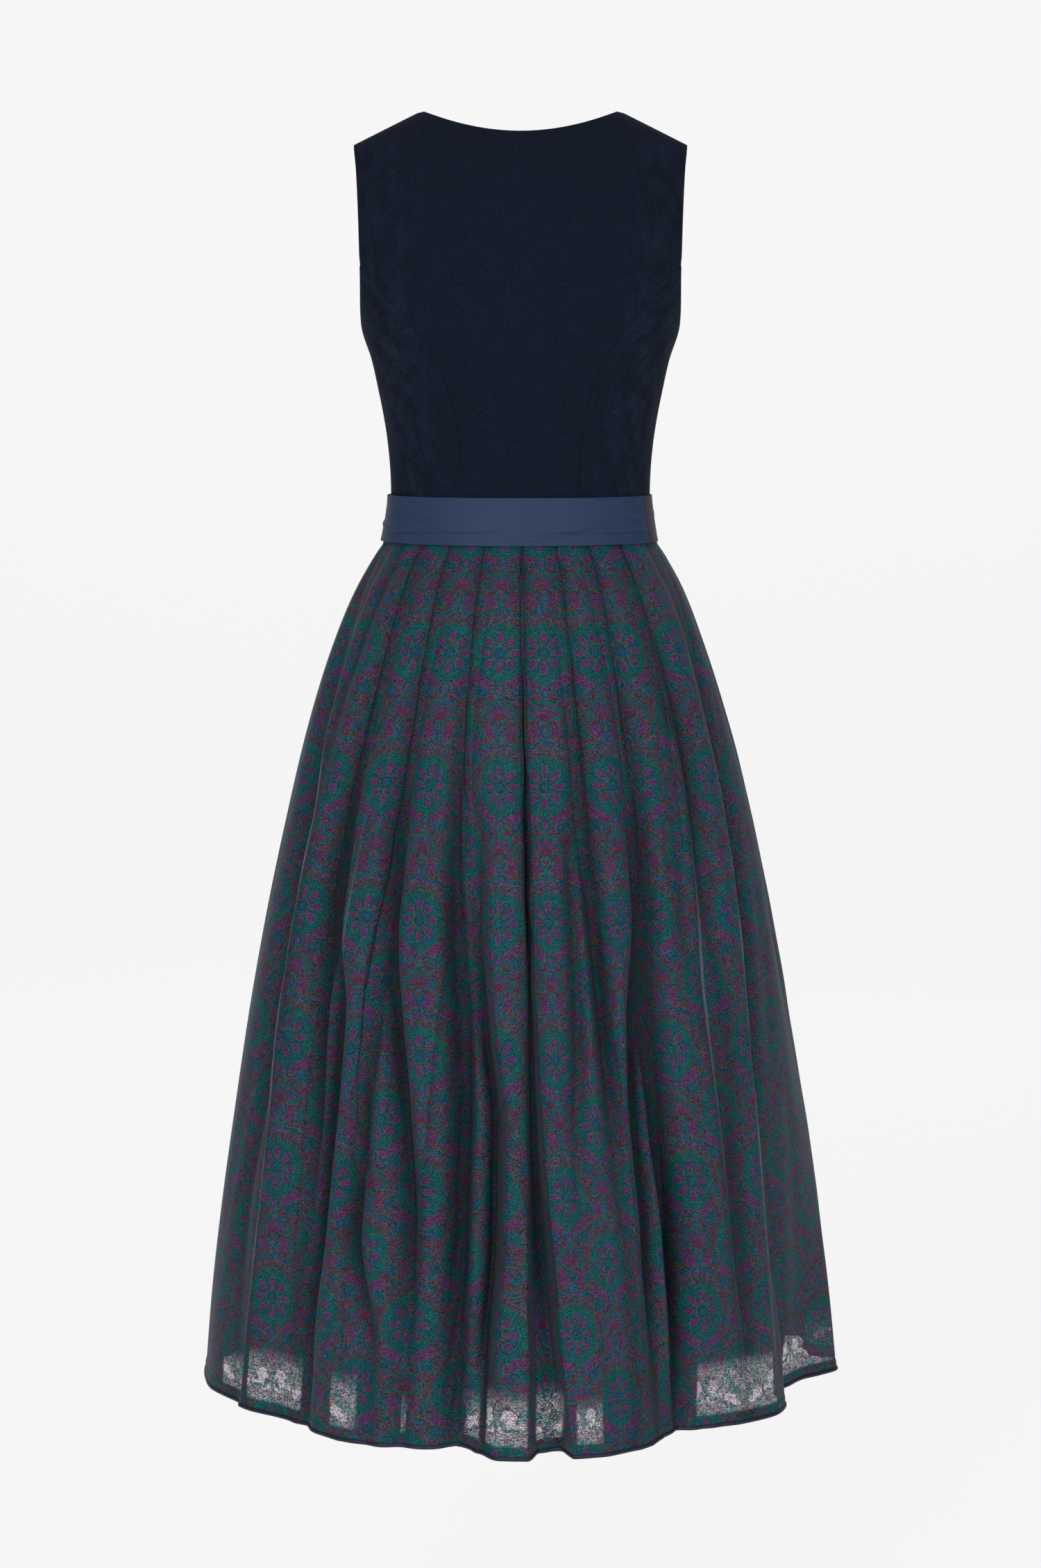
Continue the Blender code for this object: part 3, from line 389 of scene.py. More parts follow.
    # Near the hem one layer of cloth lets the light through between its threads
    sheer = add("Attribute", attribute_name="sheer")[2]
    cover = add("Math MULTIPLY_ADD", ripple, 0.10, cover)
    cover = add("Math MULTIPLY_ADD", weft, 0.34, cover)
    scroll = add("Math SUBTRACT", add("TexNoise", uv, None, 210.0, 2.0, 0.6)[0], 0.5)
    scroll = add("Math MULTIPLY_ADD", add("Math ABSOLUTE", scroll), -16.0, 1.0, use_clamp=True)
    cover = add("Math MULTIPLY_ADD", scroll, 0.50, cover)
    cover = add("Math MULTIPLY_ADD", add("Math SUBTRACT", fleck, 0.5), 1.3, cover, use_clamp=True)
    gap = add("Math MULTIPLY", sheer, add("Math SUBTRACT", 1.0, cover))
    tree.links.new(add("Math SUBTRACT", 1.0, gap), shader.inputs["Alpha"])
    glow = add("Math MULTIPLY", gap, 0.55)
    colour = add("Mix", glow, sockets={6: colour, 7: linear(jacquard["backlit"])}, data_type="RGBA")[2]
    tree.links.new(colour, shader.inputs["Base Color"])

    raised = add("Math MULTIPLY_ADD", ripple, 0.45, cover)
    raised = add("Math MULTIPLY_ADD", weft, 0.20, raised)
    relief = add("Bump", 0.45, 0.0004, sockets={"Height": raised})
    tree.links.new(relief, shader.inputs["Normal"])
    return made


# Cotton velveteen, woven with a short cut pile: very dark, matt, brushed lighter here and there,
# and drawn lighter with painted sheen towards the sides, where the pile is seen from the side.
velveteen = {
    # the second colour is the lighter tone of brushed patches and of the painted sheen at the sides
    "colour": "#0b1120", "brushedAndSheen": "#1b2436", "sheen": "#5b6f96",
    "ribMm": 1.1,           # pile rows, coarser than the real 0.4 mm so that they show
    "patchMm": 19.0,
}


def makeVelveteen():
    made, tree, shader = newMaterial("cotton velveteen", {
        "Roughness": 0.88, "Specular IOR Level": 0.10,
        "Sheen Weight": 0.03, "Sheen Roughness": 0.45, "Sheen Tint": linear(velveteen["sheen"]),
    })
    add = functools.partial(addNode, tree)
    uv = add("UVMap", uv_map="cloth")
    smear = add("VectorMath MULTIPLY", uv, (1.0, 0.6, 1.0))[0]
    patches = add("TexNoise", smear, None, 1000.0 / velveteen["patchMm"], 6.0, 0.70)[0]
    patches = add("MapRange", patches, 0.42, 0.74, 0.0, 1.0)[0]
    pile = add("TexNoise", uv, None, 520.0, 4.0, 0.70)[0]
    _, v, _ = add("SeparateXYZ", uv)
    rib = add("Math SINE", add("Math MULTIPLY", v, 2000.0 * math.pi / velveteen["ribMm"]))
    # Painted sheen: lighter towards the sides of the body and lower down, in brushed patches
    edges = add("Attribute", attribute_name="brushedAndSheen")[2]     # more of it towards the sides of the body
    brushedAndSheen = add("Math MULTIPLY", patches, edges)
    colour = add("Mix", brushedAndSheen, sockets={6: linear(velveteen["colour"]), 7: linear(velveteen["brushedAndSheen"])},
                 data_type="RGBA")[2]
    shade = add("Math MULTIPLY_ADD", pile, 3.6, -0.80)
    shade = add("Math MULTIPLY_ADD", rib, 0.05, shade)
    colour = add("VectorMath SCALE", colour, sockets={3: shade})[0]
    tree.links.new(colour, shader.inputs["Base Color"])
    height = add("Math MULTIPLY_ADD", rib, 0.25, pile)
    tree.links.new(add("Bump", 0.30, 0.0003, sockets={"Height": height}), shader.inputs["Normal"])
    return made


# A plain cloth: satin, taffeta, lining or sateen binding, told apart by colour, gloss and thread spacing.
plainCloths = {
    "columns": ("name", "colour", "roughness", "gloss", "sheen", "threadMm", "relief"),
    "rows": (
        ("duchesse satin", "#253550", 0.58, 0.14, 0.02, 0.9, 0.10),     # long floats: a broad soft gloss
        ("silk taffeta", "#2b2730", 0.58, 0.14, 0.03, 1.0, 0.16),       # tight plain weave: crisp and dull
        ("acetate lining", "#1a1a22", 0.55, 0.35, 0.02, 0.9, 0.10),     # slippery fine twill
        ("sateen binding", "#141a30", 0.55, 0.30, 0.03, 0.8, 0.12),     # cut on the bias, round the hem
    ),
}


def makePlainCloths():
    cloths = {}
    for name, colour, roughness, gloss, sheen, threadMm, relief in plainCloths["rows"]:
        made, tree, shader = newMaterial(name, {
            "Specular IOR Level": gloss, "Sheen Weight": sheen, "Sheen Roughness": 0.4,
        })
        add = functools.partial(addNode, tree)
        uv = add("UVMap", uv_map="cloth")
        u, v, _ = add("SeparateXYZ", uv)
        warp = add("Math SINE", add("Math MULTIPLY", u, 2000.0 * math.pi / threadMm))
        weft = add("Math SINE", add("Math MULTIPLY", v, 2000.0 * math.pi / threadMm))
        weave = add("Math MULTIPLY", warp, weft)
        slub = add("TexNoise", add("VectorMath MULTIPLY", uv, (60.0, 700.0, 1.0))[0],
                   None, 1.0, 3.0, 0.6)[0]
        shade = add("Math MULTIPLY_ADD", slub, 0.55, 0.70)
        shade = add("Math MULTIPLY_ADD", weave, 0.03, shade)
        tint = add("VectorMath SCALE", linear(colour)[:3], sockets={3: shade})[0]
        tree.links.new(tint, shader.inputs["Base Color"])
        tree.links.new(add("Math MULTIPLY_ADD", slub, 0.2, roughness - 0.1), shader.inputs["Roughness"])
        height = add("Math MULTIPLY_ADD", weave, 0.5, slub)
        tree.links.new(add("Bump", relief, 0.0004, sockets={"Height": height}), shader.inputs["Normal"])
        cloths[name] = made
    return cloths


# Polyester resin, turned and polished: a dark navy gloss with a faint pearly cloud in it.
pearly = {"colour": "#141a2e", "cloud": "#2b3558", "roughness": 0.20}


def makeResin():
    made, tree, shader = newMaterial("polished resin", {
        "IOR": 1.55, "Coat Weight": 0.4, "Coat Roughness": 0.12,
    })
    add = functools.partial(addNode, tree)
    place = add("TexCoord")[3]
    cloud = add("TexNoise", place, None, 260.0, 3.0, 0.6)[0]
    colour = add("Mix", cloud, sockets={6: linear(pearly["colour"]), 7: linear(pearly["cloud"])},
                 data_type="RGBA")[2]
    tree.links.new(colour, shader.inputs["Base Color"])
    scratch = add("TexNoise", place, None, 1900.0, 2.0, 0.5)[0]
    tree.links.new(add("Math MULTIPLY_ADD", scratch, 0.15, pearly["roughness"]), shader.inputs["Roughness"])
    return made


jacquardCloth = makeJacquard()
velvet = makeVelveteen()
plain = makePlainCloths()
satin = plain["duchesse satin"]
taffeta = plain["silk taffeta"]
liningCloth = plain["acetate lining"]
bindingCloth = plain["sateen binding"]
resin = makeResin()
print("materials made")


# Bodice: the body's sections, its cut edges and its seams, from behind
bodice = {
    "underarm": 1.047,
    "backJunction": 1.107,      # where the back princess seam meets the armhole
    "frontJunction": 1.126,
    "armholeMiddle": 1.130,
    "shoulderTip": 1.2215,
    "neckPeak": 1.254,
    "backNeck": 1.232,
    "frontNeck": 1.140,
    "neckHalf": 0.0953,
    "tipHalf": 0.1612,
    "armholeReach": 0.45,
    "backClosing": 1.107,
    "frontClosing": 1.075,
    "bustRise": 0.010,
    "bustHeight": 1.042,
    "bustOffset": 0.078,
    "bustSpread": 0.046,
    "shoulderTrim": 0.0004,
    "wall": 0.0014,
    "grooveDepth": 0.0011,      # how far the cloth dips into a seam, and over what width
    "grooveWidth": 0.0019,
    "seamShare": 0.62,
    "sideSheenFrom": 28.0,        # angle where the painted sheen of the sides starts, over the lighter brushed pile
    "seamOverlap": 0.00045,     # each edge passes its seam line this far, so that no light shows
    "seamFade": 0.006,          # height over which a seam's dip ends at the armhole
    "plainTop": 0.03,           # no drag lines this close to the neck
    "radius": 0.13,
    "turnedEdge": 0.0005,
    "seamColumns": (0.0, 0.0009, 0.0019, 0.0032),       # the mesh's columns nearest a seam
    "firstColumn": 0.0055,      # and where its even ones begin
    "backMesh": (0.116, 46),    # a panel's width and its even columns
    "frontMesh": (0.062, 24),
    "sideMesh": (0.085, 18),
    "seamRows": 44,
    "armholeRows": 26,
    "sideRows": 40,
}
body = {
    "columns": ("height", "halfWidth", "backDepth", "frontDepth", "squareness"),
    "rows": (
        (0.839, 0.1337, 0.0950, 0.0960, 2.05),
        (0.852, 0.1311, 0.0925, 0.0935, 2.10),
        (0.866, 0.1287, 0.0900, 0.0915, 2.10),
        (0.885, 0.1268, 0.0882, 0.0900, 2.10),
        (0.907, 0.1274, 0.0880, 0.0905, 2.10),
        (0.934, 0.1297, 0.0892, 0.0935, 2.12),
        (0.961, 0.1336, 0.0918, 0.0985, 2.16),
        (0.988, 0.1389, 0.0950, 0.1060, 2.20),
        (1.015, 0.1448, 0.0980, 0.1130, 2.25),
        (1.047, 0.1547, 0.1008, 0.1180, 2.30),
        (1.100, 0.1600, 0.1025, 0.1170, 2.35),
        (1.160, 0.1600, 0.1010, 0.1120, 2.40),
        (1.254, 0.1600, 0.0985, 0.1060, 2.40),
    ),
}
armhole = {
    "columns": ("height", "halfWidth"),
    "rows": (
        (1.047, 0.1547), (1.061, 0.1549), (1.095, 0.1544), (1.128, 0.1550),
        (1.161, 0.1561), (1.194, 0.1580), (1.2215, 0.1612),
    ),
}
backSeam = {
    "columns": ("height", "halfWidth"),
    "rows": (
        (0.852, 0.0580), (0.891, 0.0575), (0.932, 0.0590), (0.967, 0.0640), (0.999, 0.0746),
        (1.028, 0.0880), (1.050, 0.1060), (1.073, 0.1270), (1.094, 0.1450), (1.107, 0.1546),
    ),
}
frontSeam = {
    "columns": ("height", "halfWidth"),
    "rows": (
        (0.852, 0.0660), (0.893, 0.0620), (0.950, 0.0660), (1.000, 0.0760), (1.040, 0.0880),
        (1.070, 0.1020), (1.095, 0.1220), (1.115, 0.1430), (1.126, 0.1550),
    ),
}
# Soft drag lines and hollows in the bodice: where each lies, how long and wide it is, and how deep in mm
bodiceCreases = {
    "columns": ("angle", "height", "tilt", "length", "width", "depthMm"),
    "rows": (
        (-52, 0.925, 35, 0.070, 0.009, -0.9), (-38, 0.900, 20, 0.045, 0.007, -0.6),
        (56, 0.935, -30, 0.060, 0.010, -0.8), (40, 0.905, -15, 0.040, 0.006, -0.5),
        (-10, 0.903, 4, 0.060, 0.008, -0.5), (14, 0.915, -6, 0.050, 0.009, 0.5),
        (-68, 1.010, 60, 0.050, 0.010, -0.9), (70, 1.000, -62, 0.055, 0.009, -0.8),
        (-58, 1.120, 75, 0.060, 0.012, -0.8), (60, 1.115, -72, 0.060, 0.012, -0.8),
        (-20, 1.175, -14, 0.080, 0.014, -0.6), (24, 1.185, 12, 0.070, 0.013, -0.6),
        (130, 0.915, -25, 0.050, 0.008, -0.8), (228, 0.918, 22, 0.055, 0.009, -0.8),
        (150, 0.960, -50, 0.060, 0.010, -0.7), (208, 0.955, 52, 0.055, 0.010, -0.7),
        (118, 1.060, 60, 0.045, 0.010, -0.8), (243, 1.055, -58, 0.045, 0.010, -0.8),
        (165, 0.900, 5, 0.040, 0.006, -0.5), (196, 0.905, -8, 0.045, 0.007, -0.5),
    ),
}

bodyWidth = tableCurve(body, "halfWidth")
bodyBack = tableCurve(body, "backDepth")
bodyFront = tableCurve(body, "frontDepth")
bodySquare = tableCurve(body, "squareness")
armholeWidth = tableCurve(armhole, "halfWidth")
backSeamWidth = tableCurve(backSeam, "halfWidth")
frontSeamWidth = tableCurve(frontSeam, "halfWidth")


# How far round towards the side the armhole's edge lies: 0 at the underarm.
def armholeShare(height):
    drop = (bodice["armholeMiddle"] - height) / (bodice["armholeMiddle"] - bodice["underarm"])
    return bodice["armholeReach"] * np.sqrt(1.0 - np.clip(drop, 0.0, 1.0) ** 2)


def ringWidth(height):
    power = bodySquare(height)
    beyond = armholeWidth(height) / (1.0 - armholeShare(height) ** power) ** (1.0 / power)
    return np.where(height <= bodice["underarm"], bodyWidth(height), beyond)


def shoulderLine(x):
    beyond = np.maximum(np.abs(x) - bodice["neckHalf"], 0.0)
    fall = (bodice["neckPeak"] - bodice["shoulderTip"]) / (bodice["tipHalf"] - bodice["neckHalf"])
    return bodice["neckPeak"] - beyond * fall


# Outer face of the bodice. It takes arrays of angles and heights.
def bodyPoints(angle, height):
    turn = np.radians(angle)
    sine = np.sin(turn)
    atBack = np.cos(turn) >= 0.0
    power = bodySquare(height)
    x = ringWidth(height) * sine
    depth = np.where(atBack, bodyBack(height), bodyFront(height))
    out = depth * np.maximum(1.0 - np.abs(sine) ** power, 0.0) ** (1.0 / power)
    closing = np.where(atBack, bodice["backClosing"], bodice["frontClosing"])
    climb = np.clip((height - closing) / (shoulderLine(x) - closing), 0.0, 1.0)
    out = out * np.sqrt(1.0 - climb * climb)
    across = (np.abs(x) - bodice["bustOffset"]) / bodice["bustSpread"]
    along = (height - bodice["bustHeight"]) / bodice["bustSpread"]
    bust = bodice["bustRise"] * np.exp(-across ** 2 - along ** 2) * np.minimum(out / depth * 2.0, 1.0)
    out = out + np.where(atBack, 0.0, bust)
    out = out + np.where(height > bodice["underarm"], bodice["shoulderTrim"], 0.0)
    return np.stack([x, np.where(atBack, -out, out), height - dress["heldAt"] + 0.0 * x], axis=-1)


def normalsOf(pointsOf, angle, height):
    across = pointsOf(angle + 0.5, height) - pointsOf(angle - 0.5, height)
    up = pointsOf(angle, height + 0.001) - pointsOf(angle, height - 0.001)
    return unit(np.cross(across, up))


def angleOf(width, height):
    return np.degrees(np.arcsin(np.clip(width / ringWidth(height), 0.0, 1.0)))


def armholeAngle(height):
    power = bodySquare(height)
    return np.degrees(np.arcsin((1.0 - armholeShare(height) ** power) ** (1.0 / power)))


# Places across a panel: three columns close to each seam, and even ones between.
def columnShares(width, count):
    close = np.array(bodice["seamColumns"]) / width
    first = bodice["firstColumn"] / width
    return np.concatenate([close, np.linspace(first, 1.0 - first, count), 1.0 - close[::-1]])


def upFromWaist(top, shares):
    return dress["waistSeam"] + (top - dress["waistSeam"]) * shares


def waistEdge(angles):
    return np.stack([angles, np.full(len(angles), dress["waistSeam"])], axis=-1)


# Fills four edges, each an array of angle and height pairs, with a grid of pairs.
def coonsPatch(left, right, lower, upper, us, vs):
    u = us[None, :, None]
    v = vs[:, None, None]
    grid = (1 - u) * left[:, None, :] + u * right[:, None, :]
    grid = grid + (1 - v) * lower[None] + v * upper[None]
    corners = (1 - u) * (1 - v) * left[0] + u * (1 - v) * right[0]
    corners = corners + (1 - u) * v * left[-1] + u * v * right[-1]
    return grid - corners


# Seam and armhole edge of a centre panel, up to the shoulder's tip.
def longEdge(seamWidth, junction, vs):
    share = bodice["seamShare"]
    turn = 0.5 * math.pi * np.clip((vs - share) / (1.0 - share), 0.0, 1.0)
    high = junction + (bodice["shoulderTip"] - junction) * np.sin(turn)
    height = np.where(vs <= share, upFromWaist(junction, np.minimum(vs / share, 1.0)), high)
    blend = ease((height - junction + 0.004) / 0.004)
    angle = (1 - blend) * angleOf(seamWidth(height), height) + blend * armholeAngle(height)
    return np.stack([angle, height], axis=-1)


# Neckline and shoulder seam of one half, from the centre out to the shoulder's tip.
def topEdge(neckCurve, us, endAngle):
    neckShare = 0.6
    neckX, neckHeight = neckCurve(np.minimum(us / neckShare, 1.0))
    t = np.clip((us - neckShare) / (1.0 - neckShare), 0.0, 1.0)
    x = np.where(us <= neckShare, neckX, bodice["neckHalf"] + (bodice["tipHalf"] - bodice["neckHalf"]) * t)
    height = np.where(us <= neckShare, neckHeight, shoulderLine(x))
    angle = angleOf(x, height)
    angle[-1] = endAngle
    return np.stack([angle, height], axis=-1)


def backNeckCurve(t):
    return bodice["neckHalf"] * t, bodice["backNeck"] + (bodice["neckPeak"] - bodice["backNeck"]) * t * t


def frontNeckCurve(t):
    turn = 0.5 * math.pi * t
    drop = bodice["neckPeak"] - bodice["frontNeck"]
    return bodice["neckHalf"] * np.sin(turn), bodice["neckPeak"] - drop * np.cos(turn)


def armholeCurve(junction, us):
    start = np.arcsin(min(float(armholeShare(junction)) / bodice["armholeReach"], 1.0))
    turn = start * (1.0 - us)
    height = bodice["armholeMiddle"] - (bodice["armholeMiddle"] - bodice["underarm"]) * np.cos(turn)
    height[0] = junction
    height[-1] = bodice["underarm"]
    angle = armholeAngle(height)
    angle[-1] = 90.0
    return np.stack([angle, height], axis=-1)


# How far the creases lift the cloth, at arrays of angles and heights.
def creaseLift(table, angle, height, radius):
    lift = np.zeros(np.broadcast(angle, height).shape)
    for at, middle, tilt, length, width, depthMm in table["rows"]:
        across = np.radians(angle - at) * radius
        up = height - middle
        lean = math.radians(tilt)
        along = across * math.cos(lean) + up * math.sin(lean)
        aside = -across * math.sin(lean) + up * math.cos(lean)
        lift += 0.001 * depthMm * np.exp(-(aside / width) ** 2 - (along / length) ** 2)
    return lift


# One velvet panel. Its seam sides dip into the seam, its free edges are turned in.
def addPanel(name, pairs, seams, node, mirrored=False, front=False):
    height = pairs[..., 1]
    angle = 180.0 - pairs[..., 0] if front else pairs[..., 0]
    if mirrored:
        angle = -angle
    points = bodyPoints(angle, height)
    normals = normalsOf(bodyPoints, angle, height)
    fromLeft = lengthAlong(points, 1)
    edges = ((0, 1, fromLeft, seams[0]), (-1, -2, fromLeft[:, -1:] - fromLeft, seams[1]))
    dip = np.zeros(fromLeft.shape)
    for _, _, distance, reach in edges:
        sewn = ease((reach - height) / bodice["seamFade"] + 0.5)
        dip += sewn * np.exp(-(distance / bodice["grooveWidth"]) ** 2)
    faded = ease((bodice["neckPeak"] - bodice["plainTop"] - height) / 0.02)
    lift = creaseLift(bodiceCreases, angle % 360.0 if front else angle, height, bodice["radius"]) * faded
    points = points + normals * (lift - bodice["grooveDepth"] * dip)[..., None]
    for edge, beside, _, reach in edges:
        closed = bodice["seamOverlap"] * ease((reach - height[:, edge]) / bodice["seamFade"] + 0.5)
        points[:, edge] += unit(points[:, edge] - points[:, beside]) * closed[:, None]
    # Painted sheen: the pile is drawn lighter towards the sides of the body and lower down
    fromBack = np.abs((angle + 180.0) % 360.0 - 180.0)
    brushedAndSheen = 0.14 + 0.86 * ease((fromBack - bodice["sideSheenFrom"]) / 30.0)
    brushedAndSheen = brushedAndSheen * (0.6 + 0.4 * ease((1.16 - height) / 0.12))
    if mirrored != front:
        points = points[:, ::-1]
        brushedAndSheen = brushedAndSheen[:, ::-1]
    gridPiece(name, np.ascontiguousarray(points), velvet, node, bodice["wall"],
              bodice["turnedEdge"], marks={"brushedAndSheen": brushedAndSheen})


def addBodice():
    share = bodice["seamShare"]
    vs = np.concatenate([np.linspace(0.0, share, bodice["seamRows"]),
                         np.linspace(share, 1.0, bodice["armholeRows"])[1:]])
    backEdge = longEdge(backSeamWidth, bodice["backJunction"], vs)
    frontEdge = longEdge(frontSeamWidth, bodice["frontJunction"], vs)

    us = columnShares(*bodice["backMesh"])
    halfUs = np.abs(2.0 * us - 1.0)
    order = np.argsort(halfUs)
    top = np.zeros((len(us), 2))
    top[order] = topEdge(backNeckCurve, halfUs[order], backEdge[-1, 0])
    top[0, 0] = top[-1, 0] = backEdge[-1, 0]
    top[us < 0.5, 0] *= -1.0
    bottom = waistEdge(backEdge[0, 0] * (2.0 * us - 1.0))
    pairs = coonsPatch(backEdge * (-1.0, 1.0), backEdge, bottom, top, us, vs)
    addPanel("bodiceBackPanel", pairs, (bodice["backJunction"], bodice["backJunction"]), "bodice_back")

    us = columnShares(*bodice["frontMesh"])
    top = topEdge(frontNeckCurve, us, frontEdge[-1, 0])
    centre = np.stack([np.zeros(len(vs)), upFromWaist(bodice["frontNeck"], vs)], axis=-1)
    frontPairs = coonsPatch(centre, frontEdge, waistEdge(frontEdge[0, 0] * us), top, us, vs)

    us = columnShares(*bodice["sideMesh"])
    steps = np.linspace(0.0, 1.0, bodice["sideRows"])
    outer = np.stack([np.full(len(steps), 90.0), upFromWaist(bodice["underarm"], steps)], axis=-1)
    for side, mirrored in (("right", False), ("left", True)):
        addPanel("bodiceFrontPanel_" + side, frontPairs, (math.inf, bodice["frontJunction"]),
                 "bodice_front_" + side, mirrored, front=True)
        for place, seamWidth in (("back", backSeamWidth), ("front", frontSeamWidth)):
            junction = bodice[place + "Junction"]
            seamHeight = upFromWaist(junction, steps)
            inner = np.stack([angleOf(seamWidth(seamHeight), seamHeight), seamHeight], axis=-1)
            inner[-1, 0] = armholeAngle(junction)
            lower = waistEdge(inner[0, 0] + (90.0 - inner[0, 0]) * us)
            pairs = coonsPatch(inner, outer, lower, armholeCurve(junction, us), us, steps)
            addPanel("bodiceSide_%s_%s" % (place, side), pairs, (junction, bodice["underarm"]),
                     "bodice_side_%s_%s" % (place, side), mirrored, place == "front")


addBodice()
print("bodice made")


# Skirt: its plain sections, and its folds, each with its angles and its rises in mm at these heights
skirt = {
    "levels": (0.852, 0.700, 0.570, 0.420, 0.210, 0.000),
    "columns": ("height", "halfWidth", "backDepth", "frontDepth"),
    "rows": (
        (0.000, 0.3170, 0.2620, 0.2500),
        (0.090, 0.3095, 0.2585, 0.2465),
        (0.196, 0.2965, 0.2495, 0.2380),
        (0.300, 0.2800, 0.2355, 0.2250),
        (0.410, 0.2603, 0.2190, 0.2090),
        (0.515, 0.2403, 0.2020, 0.1930),
        (0.619, 0.2166, 0.1810, 0.1740),
        (0.685, 0.1982, 0.1650, 0.1590),
        (0.757, 0.1744, 0.1435, 0.1390),
        (0.791, 0.1605, 0.1280, 0.1250),
        (0.825, 0.1424, 0.1060, 0.1050),
        (0.839, 0.1337, 0.0950, 0.0960),
        (0.852, 0.1311, 0.0925, 0.0935),
    ),
    "firstAngle": -92.0,
    "top": 0.8515,
    "hemFold": 0.0125,          # the hem is turned up this far, so it is opaque
    "rowCount": 116,
    "hemRows": (0.0022, 0.006, 0.0095, 0.0115, 0.0128, 0.0142, 0.0170),    # the mesh's lowest rows
    "evenFrom": 0.0215,         # and where its even ones begin
    "faceSteps": (15, 12),      # the back's and the front's mesh columns in each span of a face
    "crispness": 0.6,           # how much straighter than at the hem a face lies at the waist
    "undercut": 0.0052,         # how far a pleat's cloth goes back under its edge
    "release": 0.075,           # height over which a pleat opens
    "edgeShade": (0.9, 1.0, 1.0, 0.8, 0.5, 0.3),        # shadow behind a pleat's edge, at the same heights
    "shadeReach": 0.0045,       # how far that shadow reaches
    "hemRelief": 0.0005,        # how far the turned-up hem stands out, and its sewn line lies in
    "hemLine": 0.0012,
    "patternTop": 0.742,        # height of the first row of rosettes
    "patternStep": 0.112,       # cloth from one pleat's middle to the next, two columns of rosettes
}
# A ridge has one row of angles and rises. A fold has two: the edge's, then the tuck's. Its kind says on
# which side of the tuck the edge lies. It is tight above one height, and hides no cloth below the other.
backFolds = {
    "columns": ("kind", "angles", "rises", "tuckAngles", "tuckRises", "tightAbove", "openBelow", "reachMm"),
    "rows": (
        ("ridge", (-90, -90, -90, -90, -90, -90), (0, 4, 3, 4, 1, 2)),
        ("ridge", (-88.6, -88.6, -88.6, -88.6, -88.6, -88.6), (0, 4, 3, 4, 1, 2)),
        ("ridge", (-85, -80, -76, -76, -76, -76), (0, 4, 4, 4, 3, 1)),
        ("right", (-78.5, -68.5, -60, -61.8, -59.3, -62), (0, 4, 6, 4, 0, -5),
         (-80, -70.5, -62.2, -64.2, -62, -64.5), (-2.5, -3, -1, -2, -4, -9), -0.20, -9.0, 0.5),
        ("left", (-46.5, -47.6, -51.5, -52.5, -50, -49), (0, 4, 2, -6, -12, -17),
         (-45, -46, -49.4, -48, -45.8, -45), (-2.5, -3, -5, -6, -9, -14), 0.49, -9.0, 0.0),
        ("ridge", (-38, -39, -41, -42.5, -41.5, -40), (-1, 0, 1, 4, 0, -6)),
        ("left", (-31, -31.4, -33, -35.3, -34, -32), (0, 4, 5, 2, 1, 3),
         (-29.5, -30, -31.3, -32.5, -28, -26), (-2.5, -3, -4, -2, 3, 5), 0.20, 0.24, 0.0),
        ("left", (-15.4, -15.4, -15, -17, -19, -20), (0, 4, 6, 2, -2, -1),
         (-13.9, -14, -12, -9, -6.3, -9.5), (-2.5, -3, -9, -10, -9, -11), 0.60, 0.62, 0.0),
        ("ridge", (-7, -7, -6.5, -5.5, -4, -5.2), (-1, 0, 1, 1, 5, 18)),
        ("left", (-0.4, -0.2, 0.4, 1.1, 1.2, 1.2), (0, 3, 6, 8, 13, 20),
         (0.3, 0.5, 1.2, 1.9, 2.3, 3.2), (-3, -5, -7, -7, -4, -2), 0.45, 0.47, 2.2),
        ("right", (1.5, 1.7, 2.4, 3.1, 5.5, 8.4), (0, 3, 6, 7, 12, 17),
         (0.8, 1.0, 1.7, 2.4, 4.3, 7.2), (-3, -5, -7, -7, -6, -4), 0.45, 0.47, 2.0),
        ("ridge", (8, 8, 9, 10, 12.5, 14), (-1, 0, 0, 2, 7, 14)),
        ("right", (15.2, 16, 17.2, 19.3, 22, 23), (0, 4, 5, 3, 1, 0),
         (13.8, 14.5, 15.7, 17.5, 19, 19.5), (-2.5, -3, -4, -1, 3, 5), 0.44, 0.46, 0.0),
        ("right", (30, 29.8, 30.5, 29.5, 32, 36), (0, 4, 4, -6, -16, -28),
         (28.6, 28.4, 28.8, 25.7, 26.5, 29.5), (-2.5, -3, -5, -4, -12, -25), 0.46, 0.42, 0.0),
        ("right", (47.2, 46.8, 45.8, 43, 44, 47), (0, 4, 2, 2, -4, -13),
         (45.6, 45, 43.6, 38.5, 38.5, 40), (-2.5, -3, -4, -3, -11, -23), 0.64, 0.60, 0.0),
        ("left", (65.8, 62.7, 58.9, 56, 53.2, 56.5), (0, 5, 6, 5, 1, -10),
         (67.6, 64.6, 61.2, 60, 62, 70), (-2.5, -3, -5, -10, -26, -48), 0.26, -9.0, 0.0),
        ("ridge", (79, 78, 77, 77, 79, 81), (-1, 0, 1, -2, -12, -31)),
        ("ridge", (88.6, 88.6, 88.6, 88.6, 88.6, 88.6), (0, -3, -2, -3, -1, 3)),
        ("ridge", (90, 90, 90, 90, 90, 90), (0, -3, -2, -3, -1, 3)),
    ),
}
